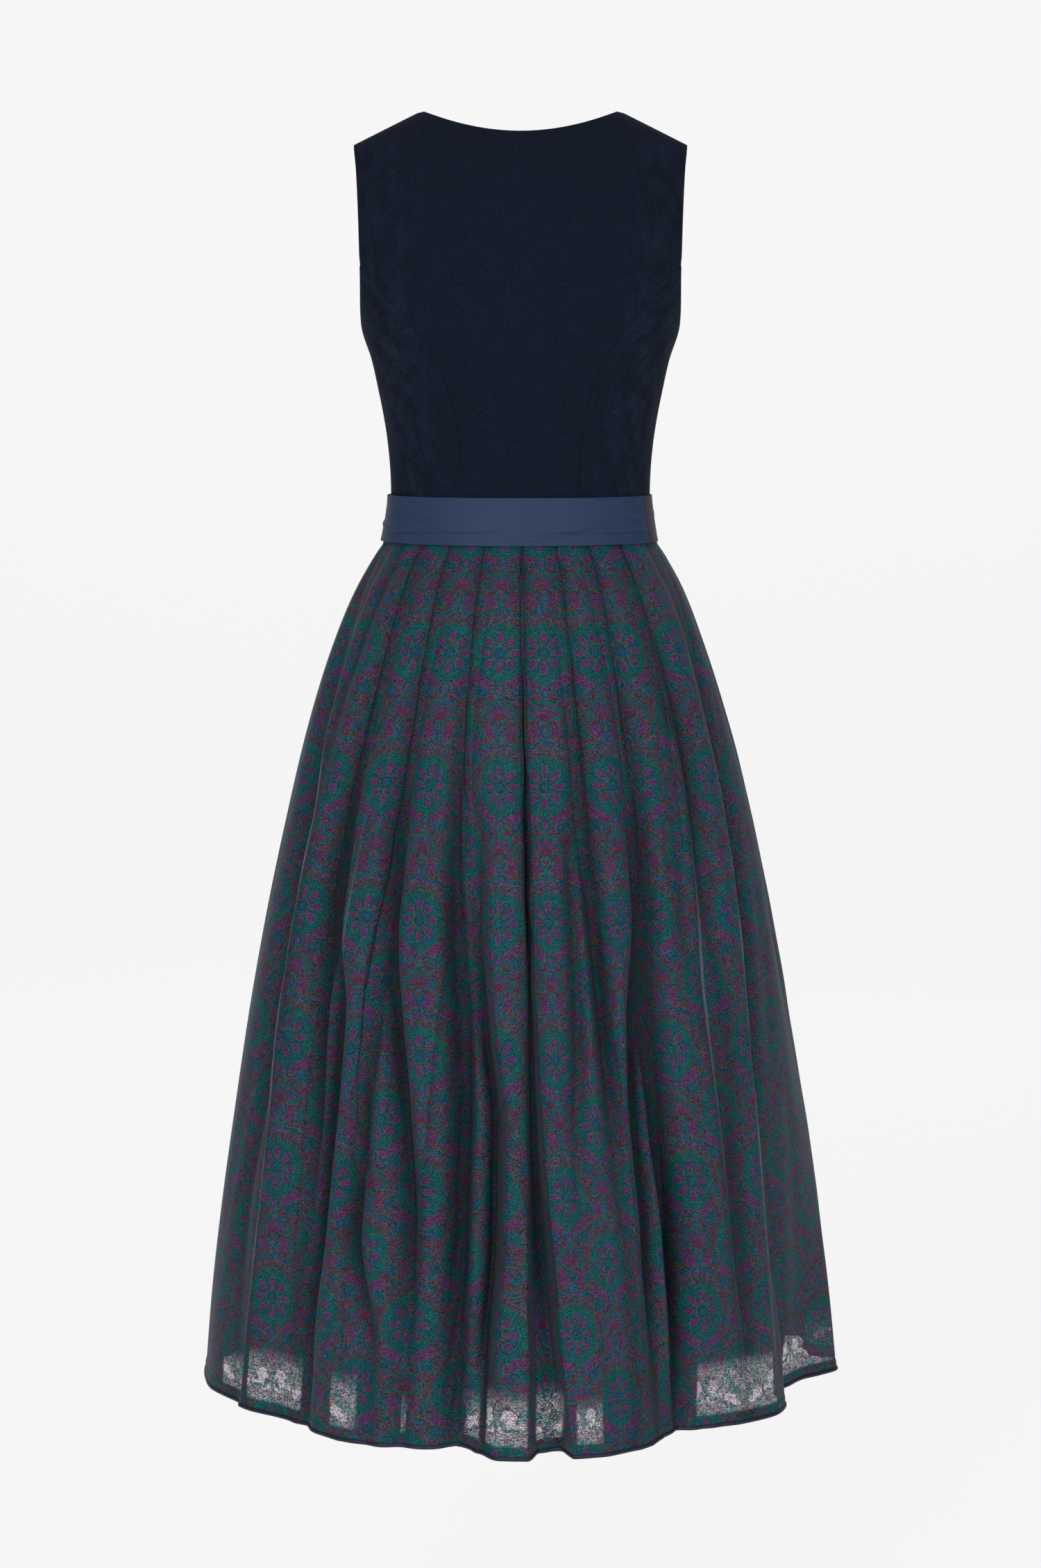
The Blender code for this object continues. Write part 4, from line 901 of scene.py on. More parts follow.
# Where the middle of a column of rosettes runs down each face, at the same heights, and the column's
# number. The cloth behind the centre pleat lies halfway between two columns.
backColumns = {
    "columns": ("number", "angles"),
    "rows": (
        (0, (-86, -79, -76, -76, -77, -77)),
        (1, (-62.5, -57.5, -57.5, -58.0, -55, -53)),
        (2, (-32.5, -34.5, -36.2, -36.5, -38.5, -40)),
        (3, (-21, -22, -23.2, -21.5, -18.3, -17.2)),
        (4, (-7, -6, -5, -4.5, -4, -4)),
        (4.5, (0.55, 0.75, 1.45, 2.15, 3.3, 5.2)),
        (5, (8, 6.6, 5.8, 6.3, 8.6, 10.5)),
        (6, (22.4, 23, 23.5, 21.5, 21.4, 22.4)),
        (7, (32.6, 32.5, 32.3, 33, 36.4, 38)),
        (8, (57, 56, 56, 54.5, 54, 55)),
        (9, (80, 78, 75, 72, 71, 76)),
    ),
}
# Soft troughs and ridges that the hanging cloth makes by itself
skirtCreases = {
    "columns": ("angle", "height", "tilt", "length", "width", "depthMm"),
    "rows": (
        (-72, 0.30, 84, 0.16, 0.013, -2.2), (-69, 0.12, 88, 0.12, 0.011, -1.8),
        (-82, 0.52, 86, 0.10, 0.010, -1.4), (-57, 0.36, 78, 0.09, 0.009, -1.6),
        (-46, 0.22, 96, 0.14, 0.012, -2.0), (-43, 0.58, 92, 0.08, 0.008, 1.0),
        (-37, 0.13, 86, 0.12, 0.010, 1.8), (-27, 0.30, 82, 0.15, 0.012, -2.2),
        (-24, 0.10, 94, 0.10, 0.010, 1.8), (-22, 0.62, 88, 0.10, 0.008, -0.9),
        (-16, 0.36, 100, 0.12, 0.010, 1.5), (-10, 0.24, 84, 0.14, 0.012, -2.0),
        (-9, 0.66, 92, 0.10, 0.008, 0.9), (-3, 0.12, 92, 0.12, 0.010, 1.6),
        (9, 0.28, 82, 0.16, 0.012, -2.0), (7, 0.60, 88, 0.12, 0.008, -0.9),
        (12, 0.10, 96, 0.10, 0.010, 1.8), (17, 0.34, 90, 0.12, 0.011, -1.6),
        (24, 0.62, 86, 0.10, 0.009, 1.0), (26, 0.20, 98, 0.16, 0.012, 2.0),
        (30, 0.34, 84, 0.10, 0.010, -1.5), (37, 0.14, 88, 0.14, 0.012, 2.0),
        (36, 0.56, 94, 0.10, 0.009, -1.2), (48, 0.26, 82, 0.16, 0.013, -2.2),
        (52, 0.50, 90, 0.10, 0.010, 1.2), (60, 0.14, 94, 0.13, 0.012, 2.0),
        (70, 0.38, 86, 0.14, 0.012, -2.0), (76, 0.16, 92, 0.14, 0.013, -2.2),
        (82, 0.56, 88, 0.10, 0.010, 1.2), (-55, 0.75, 60, 0.05, 0.007, -0.8),
        (-20, 0.79, 74, 0.04, 0.006, -0.6), (20, 0.785, 104, 0.04, 0.006, -0.6),
        (57, 0.76, 118, 0.05, 0.007, -0.8), (72, 0.66, 70, 0.07, 0.008, -1.0),
        (108, 0.34, 84, 0.16, 0.012, -2.0), (124, 0.16, 92, 0.13, 0.011, 1.8),
        (143, 0.46, 96, 0.12, 0.011, -1.6), (158, 0.22, 86, 0.15, 0.012, -2.0),
        (176, 0.36, 92, 0.16, 0.012, 1.6), (193, 0.18, 84, 0.13, 0.011, -1.8),
        (212, 0.42, 94, 0.13, 0.011, 1.6), (229, 0.20, 88, 0.15, 0.012, -2.0),
        (248, 0.34, 96, 0.14, 0.012, 1.8),
    ),
}
# Deep folds of the lower skirt: where each valley runs at these heights, and how deep it is in mm
hangFolds = {
    "levels": (0.80, 0.65, 0.50, 0.40, 0.30, 0.20, 0.10, 0.00),
    "columns": ("angles", "depthsMm", "widthMm"),
    "rows": (
        ((-73, -69, -66.5, -67, -66, -67, -66, -66), (6, 9, 9, 10, 8, 6, 3, 1), 12.5),
        ((-58, -60, -60, -60, -60, -60, -60, -60), (5, 3, 0, 0, 0, 0, 0, 0), 9.4),
        ((-45.0, -48.5, -51, -50, -48, -47, -47, -47), (6, 11, 22, 21, 15, 6, 0, 0), 11.8),
        ((-44, -46, -47, -42.5, -42, -42, -43, -43), (0, 0, 10, 21, 28, 26, 14, 5), 10.9),
        ((-30, -32, -32, -28.5, -24, -21.3, -21, -21), (6, 11, 22, 22, 19, 15, 8, 3), 10.9),
        ((-33, -33, -33, -33, -33, -33, -27.5, -27), (0, 0, 0, 12, 16, 16, 8, 3), 10.2),
        ((-15, -16, -15.2, -13, -12, -12, -12, -12), (6, 11, 22, 29, 30, 30, 21, 9), 10.2),
        ((-10, -10, -10, -8, -5, -5, -6, -6), (0, 0, 9, 19, 24, 26, 18, 8), 8.6),
        ((1, 1, 1.8, 2.1, 2.4, 3.4, 5, 6), (4, 6, 8, 10, 12, 15, 8, 4), 10.9),
        ((15, 15.5, 17, 18, 18.6, 19.5, 20, 20), (6, 10, 15, 16, 10, 4, 0, 0), 10.2),
        ((12, 12, 12, 12, 11, 10.5, 10, 10), (0, 0, 10, 11, 6, 2, 0, 0), 8.6),
        ((29.5, 31, 30, 26, 24.4, 25, 25, 25), (6, 11, 22, 25, 21, 19, 13, 6), 10.9),
        ((30, 30, 31, 30, 30.6, 32.2, 32.5, 32.5), (0, 0, 11, 22, 34, 40, 23, 9), 10.9),
        ((45.5, 50, 47.5, 47, 47, 47, 47, 47), (6, 13, 9, 1, 0, 0, 0, 0), 11.8),
        ((70, 64.5, 63.5, 60, 58, 56.5, 56.5, 58), (6, 10, 10, 11, 10, 10, 7, 3), 12.5),
        ((40, 40, 41, 43, 45, 46, 46, 46), (0, 0, 4, 6, 6, 6, 4, 2), 12.5),
        ((108, 108, 107, 106, 105, 105, 106, 106), (0, 3, 11, 13, 12, 12, 9, 4), 6.5),
        ((127, 127, 128, 129, 130, 130, 131, 131), (0, 1, 8, 13, 15, 14, 10, 4), 7.0),
        ((145, 145, 144, 143, 142, 143, 144, 144), (0, 3, 12, 12, 10, 11, 11, 4), 6.0),
        ((163, 163, 164, 166, 167, 167, 166, 166), (0, 1, 8, 13, 13, 10, 8, 3), 6.5),
        ((180, 180, 181, 181, 180, 179, 179, 179), (0, 0, 5, 8, 11, 13, 11, 4), 7.0),
        ((197, 197, 196, 195, 194, 195, 196, 196), (0, 3, 12, 13, 11, 10, 8, 3), 6.5),
        ((215, 215, 216, 217, 219, 219, 218, 218), (0, 1, 9, 13, 14, 13, 10, 4), 6.5),
        ((233, 233, 232, 231, 231, 232, 232, 232), (0, 3, 11, 10, 11, 14, 10, 4), 6.5),
        ((251, 251, 252, 253, 254, 254, 253, 253), (0, 1, 9, 13, 12, 10, 9, 4), 7.0),
    ),
    "radius": 0.25,
    "waistFade": 0.040,
    "leastShadow": 0.0075,      # a fold that starts at the waist is shaded as if it were at least this deep
    "fullShadow": 0.015,
    "overLining": 0.0030,       # the least air between a fold and the lining
}
# Edges drawn with a painted highlight, a pale rim of light along the fold: which of the back's folds, and
# how much at the skirt's levels
highlightedEdges = {
    "columns": ("fold", "strengths"),
    "rows": (
        (3, (0.0, 0.6, 1.0, 1.0, 0.7, 0.2)), (15, (0.0, 0.5, 1.0, 1.0, 0.5, 0.1)),
        (5, (0.0, 0.0, 0.1, 0.6, 0.2, 0.0)), (14, (0.0, 0.1, 0.4, 0.5, 0.2, 0.0)),
    ),
    "widthMm": 1.4,
}
# Where light comes through a single layer of the skirt: degrees at the hem, and how high it reaches
sheerPatches = {
    "columns": ("from", "to", "height"),
    "rows": (
        (-71.0, -62.8, 0.052), (-59.6, -45.0, 0.066), (-35.2, -29.3, 0.066), (-21.5, -20.5, 0.055),
        (-10.1, -7.0, 0.058), (-6.0, 1.3, 0.066), (2.5, 7.4, 0.064), (8.9, 13.6, 0.058),
        (36.0, 55.0, 0.070), (72.0, 90.0, 0.066),
        (97.0, 106.0, 0.056), (128.0, 136.0, 0.060), (218.0, 229.0, 0.058),
        (250.0, 263.0, 0.062),
    ),
    "sideSoft": 0.45,           # degrees over which a patch's side fades
    "topSoft": 0.018,
}

skirtWidth = tableCurve(skirt, "halfWidth")
skirtBack = tableCurve(skirt, "backDepth")
skirtFront = tableCurve(skirt, "frontDepth")


def skirtDepth(atBack, height):
    return np.where(atBack, skirtBack(height), skirtFront(height))


def skirtPoints(angle, height, rise):
    turn = np.radians(angle)
    x = skirtWidth(height) * np.sin(turn)
    y = -skirtDepth(np.cos(turn) >= 0.0, height) * np.cos(turn)
    scale = 1.0 + rise / np.sqrt(x * x + y * y)
    return np.stack([x * scale, y * scale, height - dress["heldAt"] + 0.0 * x], axis=-1)


# Metres along the plain section for each degree
def perDegree(angle, height):
    turn = np.radians(angle)
    depth = skirtDepth(np.cos(turn) >= 0.0, height)
    return np.radians(1.0) * np.hypot(skirtWidth(height) * np.cos(turn), depth * np.sin(turn))


def levelCurve(values, scale=1.0):
    return smoothCurve(skirt["levels"], [value * scale for value in values])


# Control points of one fold: metres from its edge towards its tuck, and how far the cloth stands out.
def foldControls(edgeRise, tuckRise, tuckAway, tight, reach, heights):
    depth = np.maximum(edgeRise - tuckRise, 0.0016)
    tip = np.minimum(depth / 3.4, 0.0010 + 0.0016 * (1.0 - heights / dress["waistSeam"]))
    under = skirt["undercut"] + 0.0 * heights
    floor = np.minimum(tuckRise, edgeRise - 2.4 * tip)
    shut = (
        (-3.2 * tip + reach, edgeRise), (-1.0 * tip + reach, edgeRise - 0.06 * tip),
        (reach, edgeRise - tip), (-1.1 * tip + reach, edgeRise - 1.95 * tip),
        (-0.7 * under, edgeRise - 2.1 * tip), (-under, 0.45 * (edgeRise - 2.1 * tip) + 0.55 * floor),
        (-0.6 * under, floor), (tuckAway, tuckRise),
    )
    shares = (-0.12, -0.03, 0.06, 0.20, 0.36, 0.54, 0.76, 1.0)
    made = []
    for (x, rise), share in zip(shut, shares):
        openX = tuckAway * share
        openRise = edgeRise + (tuckRise - edgeRise) * ease(share)
        made.append((openX + (x - openX) * tight, openRise + (rise - openRise) * tight))
    return made


# Smooth curve through each row's control points. Its steps follow their spacing, so sharp folds stay so.
def throughRows(points, counts):
    steps = np.diff(points, axis=1)
    gaps = np.maximum(np.linalg.norm(steps, axis=2, keepdims=True), 1e-6) ** 0.5
    before = gaps[:, :-1]
    after = gaps[:, 1:]
    inner = (steps[:, :-1] / before * after + steps[:, 1:] / after * before) / (before + after)
    slopes = np.concatenate([steps[:, :1] / gaps[:, :1], inner, steps[:, -1:] / gaps[:, -1:]], axis=1)
    pieces = []
    for i, count in enumerate(counts):
        t = (np.arange(count) / count)[None, :, None]
        pieces.append(cubic(t, gaps[:, i, None], points[:, i, None], slopes[:, i, None],
                            points[:, i + 1, None], slopes[:, i + 1, None]))
    return np.concatenate(pieces + [points[:, -1:]], axis=1)


# Builds the cloth of one half of the skirt at the heights given. Returns its points and, for the pattern,
# the column where each fold turns back, and the columns where each face can be seen.
def pleatedCloth(folds, heights, faceSteps):
    softness = 1.0 - skirt["crispness"] * heights / dress["waistSeam"]
    angles, rises, counts, turns, faces = [], [], [], [], []

    def place(angle, rise, steps):
        if angles:
            counts.append(steps)
        angles.append(angle)
        rises.append(rise)

    def spanTo(angle, rise):
        for t in (0.25, 0.5, 0.75) if spansInFace == 1 else (0.5,):
            eased = t + softness * (t * t * (3.0 - 2.0 * t) - t)
            place(fromAngle + (angle - fromAngle) * t, fromRise + (rise - fromRise) * eased, faceSteps)

    rows = folds["rows"]
    faceStart = 0
    for number, row in enumerate(rows):
        kind = row[0]
        angle = levelCurve(row[1])(heights)
        rise = levelCurve(row[2], 0.001)(heights)
        nearBefore = number > 0 and rows[number - 1][0] != "ridge"
        spansInFace = 1 if nearBefore and kind != "ridge" else 2
        if kind == "ridge":
            if number > 1 and abs(row[1][0] - rows[number - 1][1][0]) > 2.0:
                spanTo(angle, rise)
            place(angle, rise, faceSteps if number > 1 else 2)
            fromAngle, fromRise = angle, rise
            continue
        wander = 0.0008 * np.sin(heights * 31.0 + number * 2.1)
        wander = wander + 0.0005 * np.sin(heights * 83.0 + number * 1.3)
        angle = angle + wander * ease((0.85 - heights) / 0.2) / perDegree(angle, heights)
        tuckAngle = levelCurve(row[3])(heights)
        tuckRise = levelCurve(row[4], 0.001)(heights)
        tight = ease((heights - row[5]) / skirt["release"])
        away = np.abs(tuckAngle - angle) * perDegree(angle, heights)
        controls = foldControls(rise, tuckRise, away, tight, row[7] * 0.001 * tight, heights)
        sign = 1.0 if kind == "left" else -1.0
        made = [(angle + sign * x / perDegree(angle, heights), out) for x, out in controls]
        if kind == "right":
            made.reverse()
        if number > 0:
            spanTo(made[0][0], made[0][1])
        faces.append((faceStart, len(angles)))
        for step, (at, out) in enumerate(made):
            place(at, out, 2 if step else faceSteps)
            if step == (5 if kind == "left" else 2):
                turns.append(len(angles) - 1)
        faceStart = len(angles) - 1
        fromAngle, fromRise = made[-1]
    faces.append((faceStart, len(angles) - 1))
    angle = np.stack(angles, axis=1)
    rise = np.stack(rises, axis=1)
    first = np.concatenate([[0], np.cumsum(counts)])
    points = throughRows(skirtPoints(angle, heights[:, None], rise), counts)
    return points, [first[turn] for turn in turns], [(first[a], first[b]) for a, b in faces]


# Plain flared lining, seen only through the hem
lining = {
    "hem": 0.050, "inward": 0.0050, "falls": (0.016, 0.052), "flute": 0.004, "wall": 0.0010,
    "columns": 160, "rows": 44,
}


def liningInward(heights):
    share = (dress["waistSeam"] - heights) / dress["waistSeam"]
    return lining["inward"] + lining["falls"][0] * share + lining["falls"][1] * share * share


# Angles of finished points, from just past the left side seam all the way round
def anglesOf(points, heights):
    depth = skirtDepth(points[..., 1] <= 0.0, heights[:, None])
    angle = np.degrees(np.arctan2(points[..., 0] / skirtWidth(heights)[:, None], -points[..., 1] / depth))
    return np.where(angle < skirt["firstAngle"], angle + 360.0, angle)


def hangCreases(points, heights, share=1.0):
    angle = anglesOf(points, heights)
    level = heights[:, None]
    lift = creaseLift(skirtCreases, angle, level, hangFolds["radius"]) * share
    hollow = np.zeros(angle.shape)
    for angles, depthsMm, widthMm in hangFolds["rows"]:
        middle = smoothCurve(hangFolds["levels"], angles)(level)
        depth = 0.001 * smoothCurve(hangFolds["levels"], depthsMm)(level)
        across = (angle - middle) * perDegree(middle, level) / (0.001 * widthMm)
        lift = lift - share * depth * np.exp(-across ** 2)
        shadow = np.maximum(depth, hangFolds["leastShadow"] if depthsMm[0] else 0.0)
        hollow = hollow + shadow / hangFolds["fullShadow"] * np.exp(-(1.15 * across) ** 2)
    fromSeam = 90.0 - np.abs((angle - 90.0) % 180.0 - 90.0)
    seam = ease((fromSeam - 0.8) / 3.0)
    hollow = np.minimum(hollow, 1.0) * seam
    seam = seam * ease((dress["waistSeam"] - level) / hangFolds["waistFade"])
    radius = np.linalg.norm(points[..., :2], axis=-1)
    plain = skirtPoints(angle, level + 0.0 * angle, 0.0 * angle)
    rise = radius - np.linalg.norm(plain[..., :2], axis=-1)
    deepest = np.minimum(hangFolds["overLining"] - liningInward(level), rise)
    lift = np.maximum(rise + lift * seam, deepest) - rise
    moved = points.copy()
    moved[..., :2] *= (1.0 + lift / radius)[..., None]
    return moved, hollow


# The pattern's coordinates: each face carries its own column of rosettes. Where a pleat is tight the
# pattern jumps in the hidden turn; where it has opened, the cloth between two columns shows whole.
def patternAcross(points, heights, columns, turns, faces, folds):
    arc = lengthAlong(points, 1)
    angle = anglesOf(points, heights)
    anchors = np.zeros((len(heights), len(faces)))
    for k, (first, last) in enumerate(faces):
        wanted = levelCurve(columns["rows"][k][1])(heights)
        for i in range(len(heights)):
            across = np.maximum.accumulate(angle[i, first:last + 1]) + np.arange(last + 1 - first) * 1e-9
            anchors[i, k] = np.interp(wanted[i], across, arc[i, first:last + 1])
    rows = [row for row in folds["rows"] if row[0] != "ridge"]
    numbers = skirt["patternStep"] * np.array([row[0] for row in columns["rows"]])
    stretch = np.ones((len(heights), len(faces) + 1))
    for k, row in enumerate(rows):
        opened = 1.0 - ease((heights - row[6]) / skirt["release"])
        whole = (numbers[k + 1] - numbers[k]) / (anchors[:, k + 1] - anchors[:, k])
        stretch[:, k + 1] = 1.0 + (np.clip(whole, 0.72, 1.6) - 1.0) * opened
    start = np.zeros((len(heights), points.shape[1] - 1))
    end = np.zeros(start.shape)
    edges = [0] + list(turns) + [points.shape[1] - 1]
    for k in range(len(faces)):
        span = arc[:, edges[k]:edges[k + 1] + 1] - anchors[:, k, None]
        scale = np.where(span < 0.0, stretch[:, k, None], stretch[:, k + 1, None])
        u = numbers[k] + span * scale
        start[:, edges[k]:edges[k + 1]] = u[:, :-1]
        end[:, edges[k]:edges[k + 1]] = u[:, 1:]
    return start, end


def slopeLength(heights):
    fine = np.linspace(0.0, dress["waistSeam"], 600)
    length = lengthAlong(np.stack([fine, skirtBack(fine)], axis=-1), 0)
    return np.interp(heights, fine, length) - np.interp(skirt["patternTop"], fine, length)


def sheerOf(points, heights):
    angle = anglesOf(points, heights)
    soft = sheerPatches["sideSoft"]
    sheer = np.zeros(angle.shape)
    for low, high, tall in sheerPatches["rows"]:
        inside = ease((angle - low) / soft) * ease((high - angle) / soft)
        fade = ease((tall - heights) / sheerPatches["topSoft"])
        fade = fade * ease((heights - skirt["hemFold"]) / skirt["hemLine"])
        sheer = np.maximum(sheer, inside * fade[:, None])
    return sheer


# Painted highlight: a thin pale rim of light along the listed fold edges
def edgeHighlightOf(points, heights, folds):
    angle = anglesOf(points, heights)
    edgeHighlight = np.zeros(angle.shape)
    for fold, strengths in highlightedEdges["rows"]:
        edge = levelCurve(folds["rows"][fold][1])(heights)[:, None]
        aside = (angle - edge) * perDegree(edge, heights[:, None]) / (0.001 * highlightedEdges["widthMm"])
        aside = aside + (0.7 if folds["rows"][fold][0] == "left" else -0.7)
        edgeHighlight = np.maximum(edgeHighlight, np.exp(-aside ** 2) * levelCurve(strengths)(heights)[:, None])
    return edgeHighlight


# The shadow that each pleat's edge throws on the cloth behind it
def edgeShade(points, heights, folds):
    angle = anglesOf(points, heights)
    shade = np.zeros(angle.shape)
    strength = levelCurve(skirt["edgeShade"])(heights)[:, None]
    for row in folds["rows"]:
        if row[0] != "ridge":
            edge = levelCurve(row[1])(heights)[:, None]
            way = 1.0 if row[0] == "left" else -1.0
            behind = (angle - edge) * perDegree(edge, heights[:, None]) * way
            near = np.exp(-np.maximum(behind, 0.0) / skirt["shadeReach"]) * ease((behind + 0.0012) / 0.0012)
            shade = np.maximum(shade, near * strength)
    return shade


def skirtHeights():
    low = skirt["hemRows"]
    even = np.linspace(skirt["evenFrom"], skirt["top"], skirt["rowCount"] - len(low))
    return np.concatenate([low, even])


# The turned-up hem stands out a little, with a faint line where it is sewn.
def hemRelief(points, heights):
    relief = skirt["hemRelief"] * ease((skirt["hemFold"] + 0.001 - heights) / 0.002)
    relief = relief - skirt["hemRelief"] * np.exp(-((heights - skirt["hemFold"]) / skirt["hemLine"]) ** 2)
    points[..., :2] += unit(points[..., :2]) * relief[:, None, None]
    return points


# The front's plain knife pleats, with their edges towards its middle; rises in mm at the skirt's levels
frontPleats = {
    "count": 10, "tuckDegrees": 2.4, "tightAbove": 0.34, "openBelow": 0.36,
    "edgeRises": (0, 2, 3, 4, 5, 6), "tuckRises": (-2, -3, -4, -7, -11, -15),
}


def frontFolds():
    level = len(skirt["levels"])
    rows = [("ridge", (at,) * level, (0, -3, -2, -3, -1, 3)) for at in (90, 91.4)]
    pitch = 180.0 / frontPleats["count"]
    for pleat in range(frontPleats["count"]):
        middle = 90.0 + pitch * (pleat + 0.5)
        turned = -0.5 if middle < 180.0 else 0.5
        half = turned * frontPleats["tuckDegrees"]
        late = 0.09 * math.sin(pleat * 2.4)
        rows.append(("left" if turned < 0 else "right", (middle + half,) * level, frontPleats["edgeRises"],
                     (middle - half,) * level, frontPleats["tuckRises"], frontPleats["tightAbove"] + late,
                     frontPleats["openBelow"] + late, 0.0))
    rows += [("ridge", (at,) * level, (0, 4, 3, 4, 1, 2)) for at in (268.6, 270)]
    return {"rows": tuple(rows)}


def frontColumns():
    pitch = 180.0 / frontPleats["count"]
    middles = [90.0 + 0.25 * pitch] + [90.0 + pitch * k for k in range(1, 10)] + [270.0 - 0.25 * pitch]
    rows = [(number, (middle,) * len(skirt["levels"])) for number, middle in enumerate(middles)]
    return {"rows": tuple(rows)}


def addSkirt():
    heights = skirtHeights()
    v = slopeLength(heights)
    rims = []
    halves = (("skirtBack", "skirt_back", backFolds, backColumns, skirt["faceSteps"][0]),
              ("skirtFront", "skirt_front", frontFolds(), frontColumns(), skirt["faceSteps"][1]))
    for name, node, folds, columns, faceSteps in halves:
        points, turns, faces = pleatedCloth(folds, heights, faceSteps)
        points, hollow = hangCreases(points, heights)
        startU, endU = patternAcross(points, heights, columns, turns, faces, folds)
        sheer = sheerOf(points, heights)
        edgeHighlight = edgeHighlightOf(points, heights, folds) if name == "skirtBack" else 0.0 * sheer
        hollow = np.maximum(hollow, edgeShade(points, heights, folds))
        rims.append(points[0])
        points = hemRelief(points, heights)
        mesh = clothMesh(name, points, startU, endU, np.repeat(v[:, None], points.shape[1], axis=1),
                         {"sheer": sheer, "edgeHighlight": edgeHighlight, "hollow": hollow})
        addPiece(name, mesh, jacquardCloth, node)
        print(name, points.shape, "cloth width", round(float(endU[0, -1] - startU[0, 0]), 3))
    return np.concatenate([rims[0], rims[1][1:-1]])


skirtRim = addSkirt()


# The bound hem: bias-cut sateen folded over the skirt's raw edge
binding = {"thick": 0.0024, "tall": 0.0042, "sides": 8, "middle": 0.0021}


def addBinding():
    ahead = np.roll(skirtRim, -1, axis=0) - np.roll(skirtRim, 1, axis=0)
    out = unit(np.stack([ahead[:, 1], -ahead[:, 0]], axis=-1))
    rows = []
    for turn in np.linspace(0.0, 2.0 * math.pi, binding["sides"] + 1):
        place = skirtRim.copy()
        place[:, :2] += out * 0.5 * binding["thick"] * math.cos(turn)
        place[:, 2] = binding["middle"] - dress["heldAt"] + 0.5 * binding["tall"] * math.sin(turn)
        rows.append(place)
    gridPiece("hemBinding", np.array(rows), bindingCloth, "hem_binding", closed=True)


addBinding()


def addLining():
    down = np.linspace(1.0, 0.0, lining["rows"]) ** 1.7
    heights = skirt["top"] - (skirt["top"] - lining["hem"]) * down
    angles = np.linspace(0.0, 360.0, lining["columns"], endpoint=False)
    share = (dress["waistSeam"] - heights) / dress["waistSeam"]
    turn = np.radians(angles)
    flute = lining["flute"] * share[:, None] ** 2 * np.sin(turn * 9.0 + 1.3 * np.sin(turn * 2.0))
    points = skirtPoints(angles[None], heights[:, None], flute - liningInward(heights)[:, None])
    gridPiece("skirtLining", points, liningCloth, "skirt_lining", lining["wall"], closed=True)


addLining()
print("skirt made")


# Dress at the waist: the bodice runs into the skirt at the waist seam
def waistPoints(angle, height):
    above = np.broadcast_to(height, np.broadcast(angle, height).shape)[..., None] >= dress["waistSeam"]
    return np.where(above, bodyPoints(angle, height), skirtPoints(angle, height, np.zeros_like(angle)))


# Small stitches, each a short arched thread from its start to its end, of five rings of five points
stitchRings = ((0.0, 0.35), (0.18, 0.9), (0.5, 1.0), (0.82, 0.9), (1.0, 0.35))     # how far along, how thick


def addStitches(name, parts, radius, material):
    starts, ends, outs = (np.concatenate(group) for group in zip(*parts))
    sides = np.radians(np.arange(5) * 72.0)
    along = ends - starts
    aside = unit(np.cross(along, outs))
    circle = aside[:, None] * np.cos(sides)[None, :, None] + outs[:, None] * np.sin(sides)[None, :, None]
    rings = []
    for share, size in stitchRings:
        middle = starts + along * share + outs * radius * (1.6 * math.sin(math.pi * share) - 0.7)
        rings.append(middle[:, None] + circle * radius * size)
    points = np.stack(rings, axis=1)
    index = np.arange(points.shape[0] * 25).reshape(-1, 5, 5)
    turned = np.roll(index, -1, axis=2)
    quads = np.stack([index[:, :-1], index[:, 1:], turned[:, 1:], turned[:, :-1]], axis=-1).reshape(-1, 4)
    mesh = bpy.data.meshes.new(name)
    mesh.from_pydata(points.reshape(-1, 3).tolist(), [], quads.tolist())
    mesh.shade_smooth()
    addPiece(name, mesh, material, "")


# A run of stitches along a line of points, each a share of the pitch long
def stitchesAlong(points, outs, pitch, share):
    far = lengthAlong(points, 0)
    starts = np.arange(0.5 * pitch, far[-1] - pitch, pitch)

    def at(line, where):
        return np.stack([np.interp(where, far, line[:, i]) for i in range(3)], axis=-1)

    return at(points, starts), at(points, starts + share * pitch), unit(at(outs, starts))


# Placket at centre front, hidden in the photograph: edge-stitched velvet with worked buttonholes
closure = {
    "width": 0.024, "clear": 0.0006, "base": 0.887, "top": 1.1385, "rows": 60, "columns": 17,
    "stitchIn": 0.0022, "pitch": 0.0028, "stitchShare": 0.72, "thread": 0.00026,
    "stitchEndsIn": 0.002, "grooveDepth": 0.0003, "grooveWidth": 0.0007,
    "edgeDrop": 0.0004, "edgeWidth": 0.0012, "unevenness": 0.0001, "turnedEdge": 0.0003,
    "buttons": 7, "firstIn": 0.014, "lastIn": 0.0145,
    "holeLength": 0.0165, "holeHalf": 0.0011, "holeAside": 0.0022, "holeBar": 0.0009, "holeStitches": 46,
}
# A button's outline from the middle of its face to the middle of its back, as shares of its radius and
# of half its thickness
button = {
    "radius": 0.0065, "thick": 0.0034, "clear": 0.0005, "sides": 40,
    "columns": ("reach", "level"),
    "rows": (
        (0.003, 0.62), (0.30, 0.60), (0.55, 0.50), (0.66, 0.42), (0.72, 0.50), (0.80, 0.78), (0.88, 0.84),
        (0.95, 0.62), (1.0, 0.10), (0.97, -0.30), (0.86, -0.80), (0.70, -1.0), (0.003, -1.0),
    ),
}


def placketPoints(across, height, lift):
    angle = 180.0 + np.degrees(np.arcsin(across / bodyWidth(height)))
    return bodyPoints(angle, height) + normalsOf(bodyPoints, angle, height) * lift


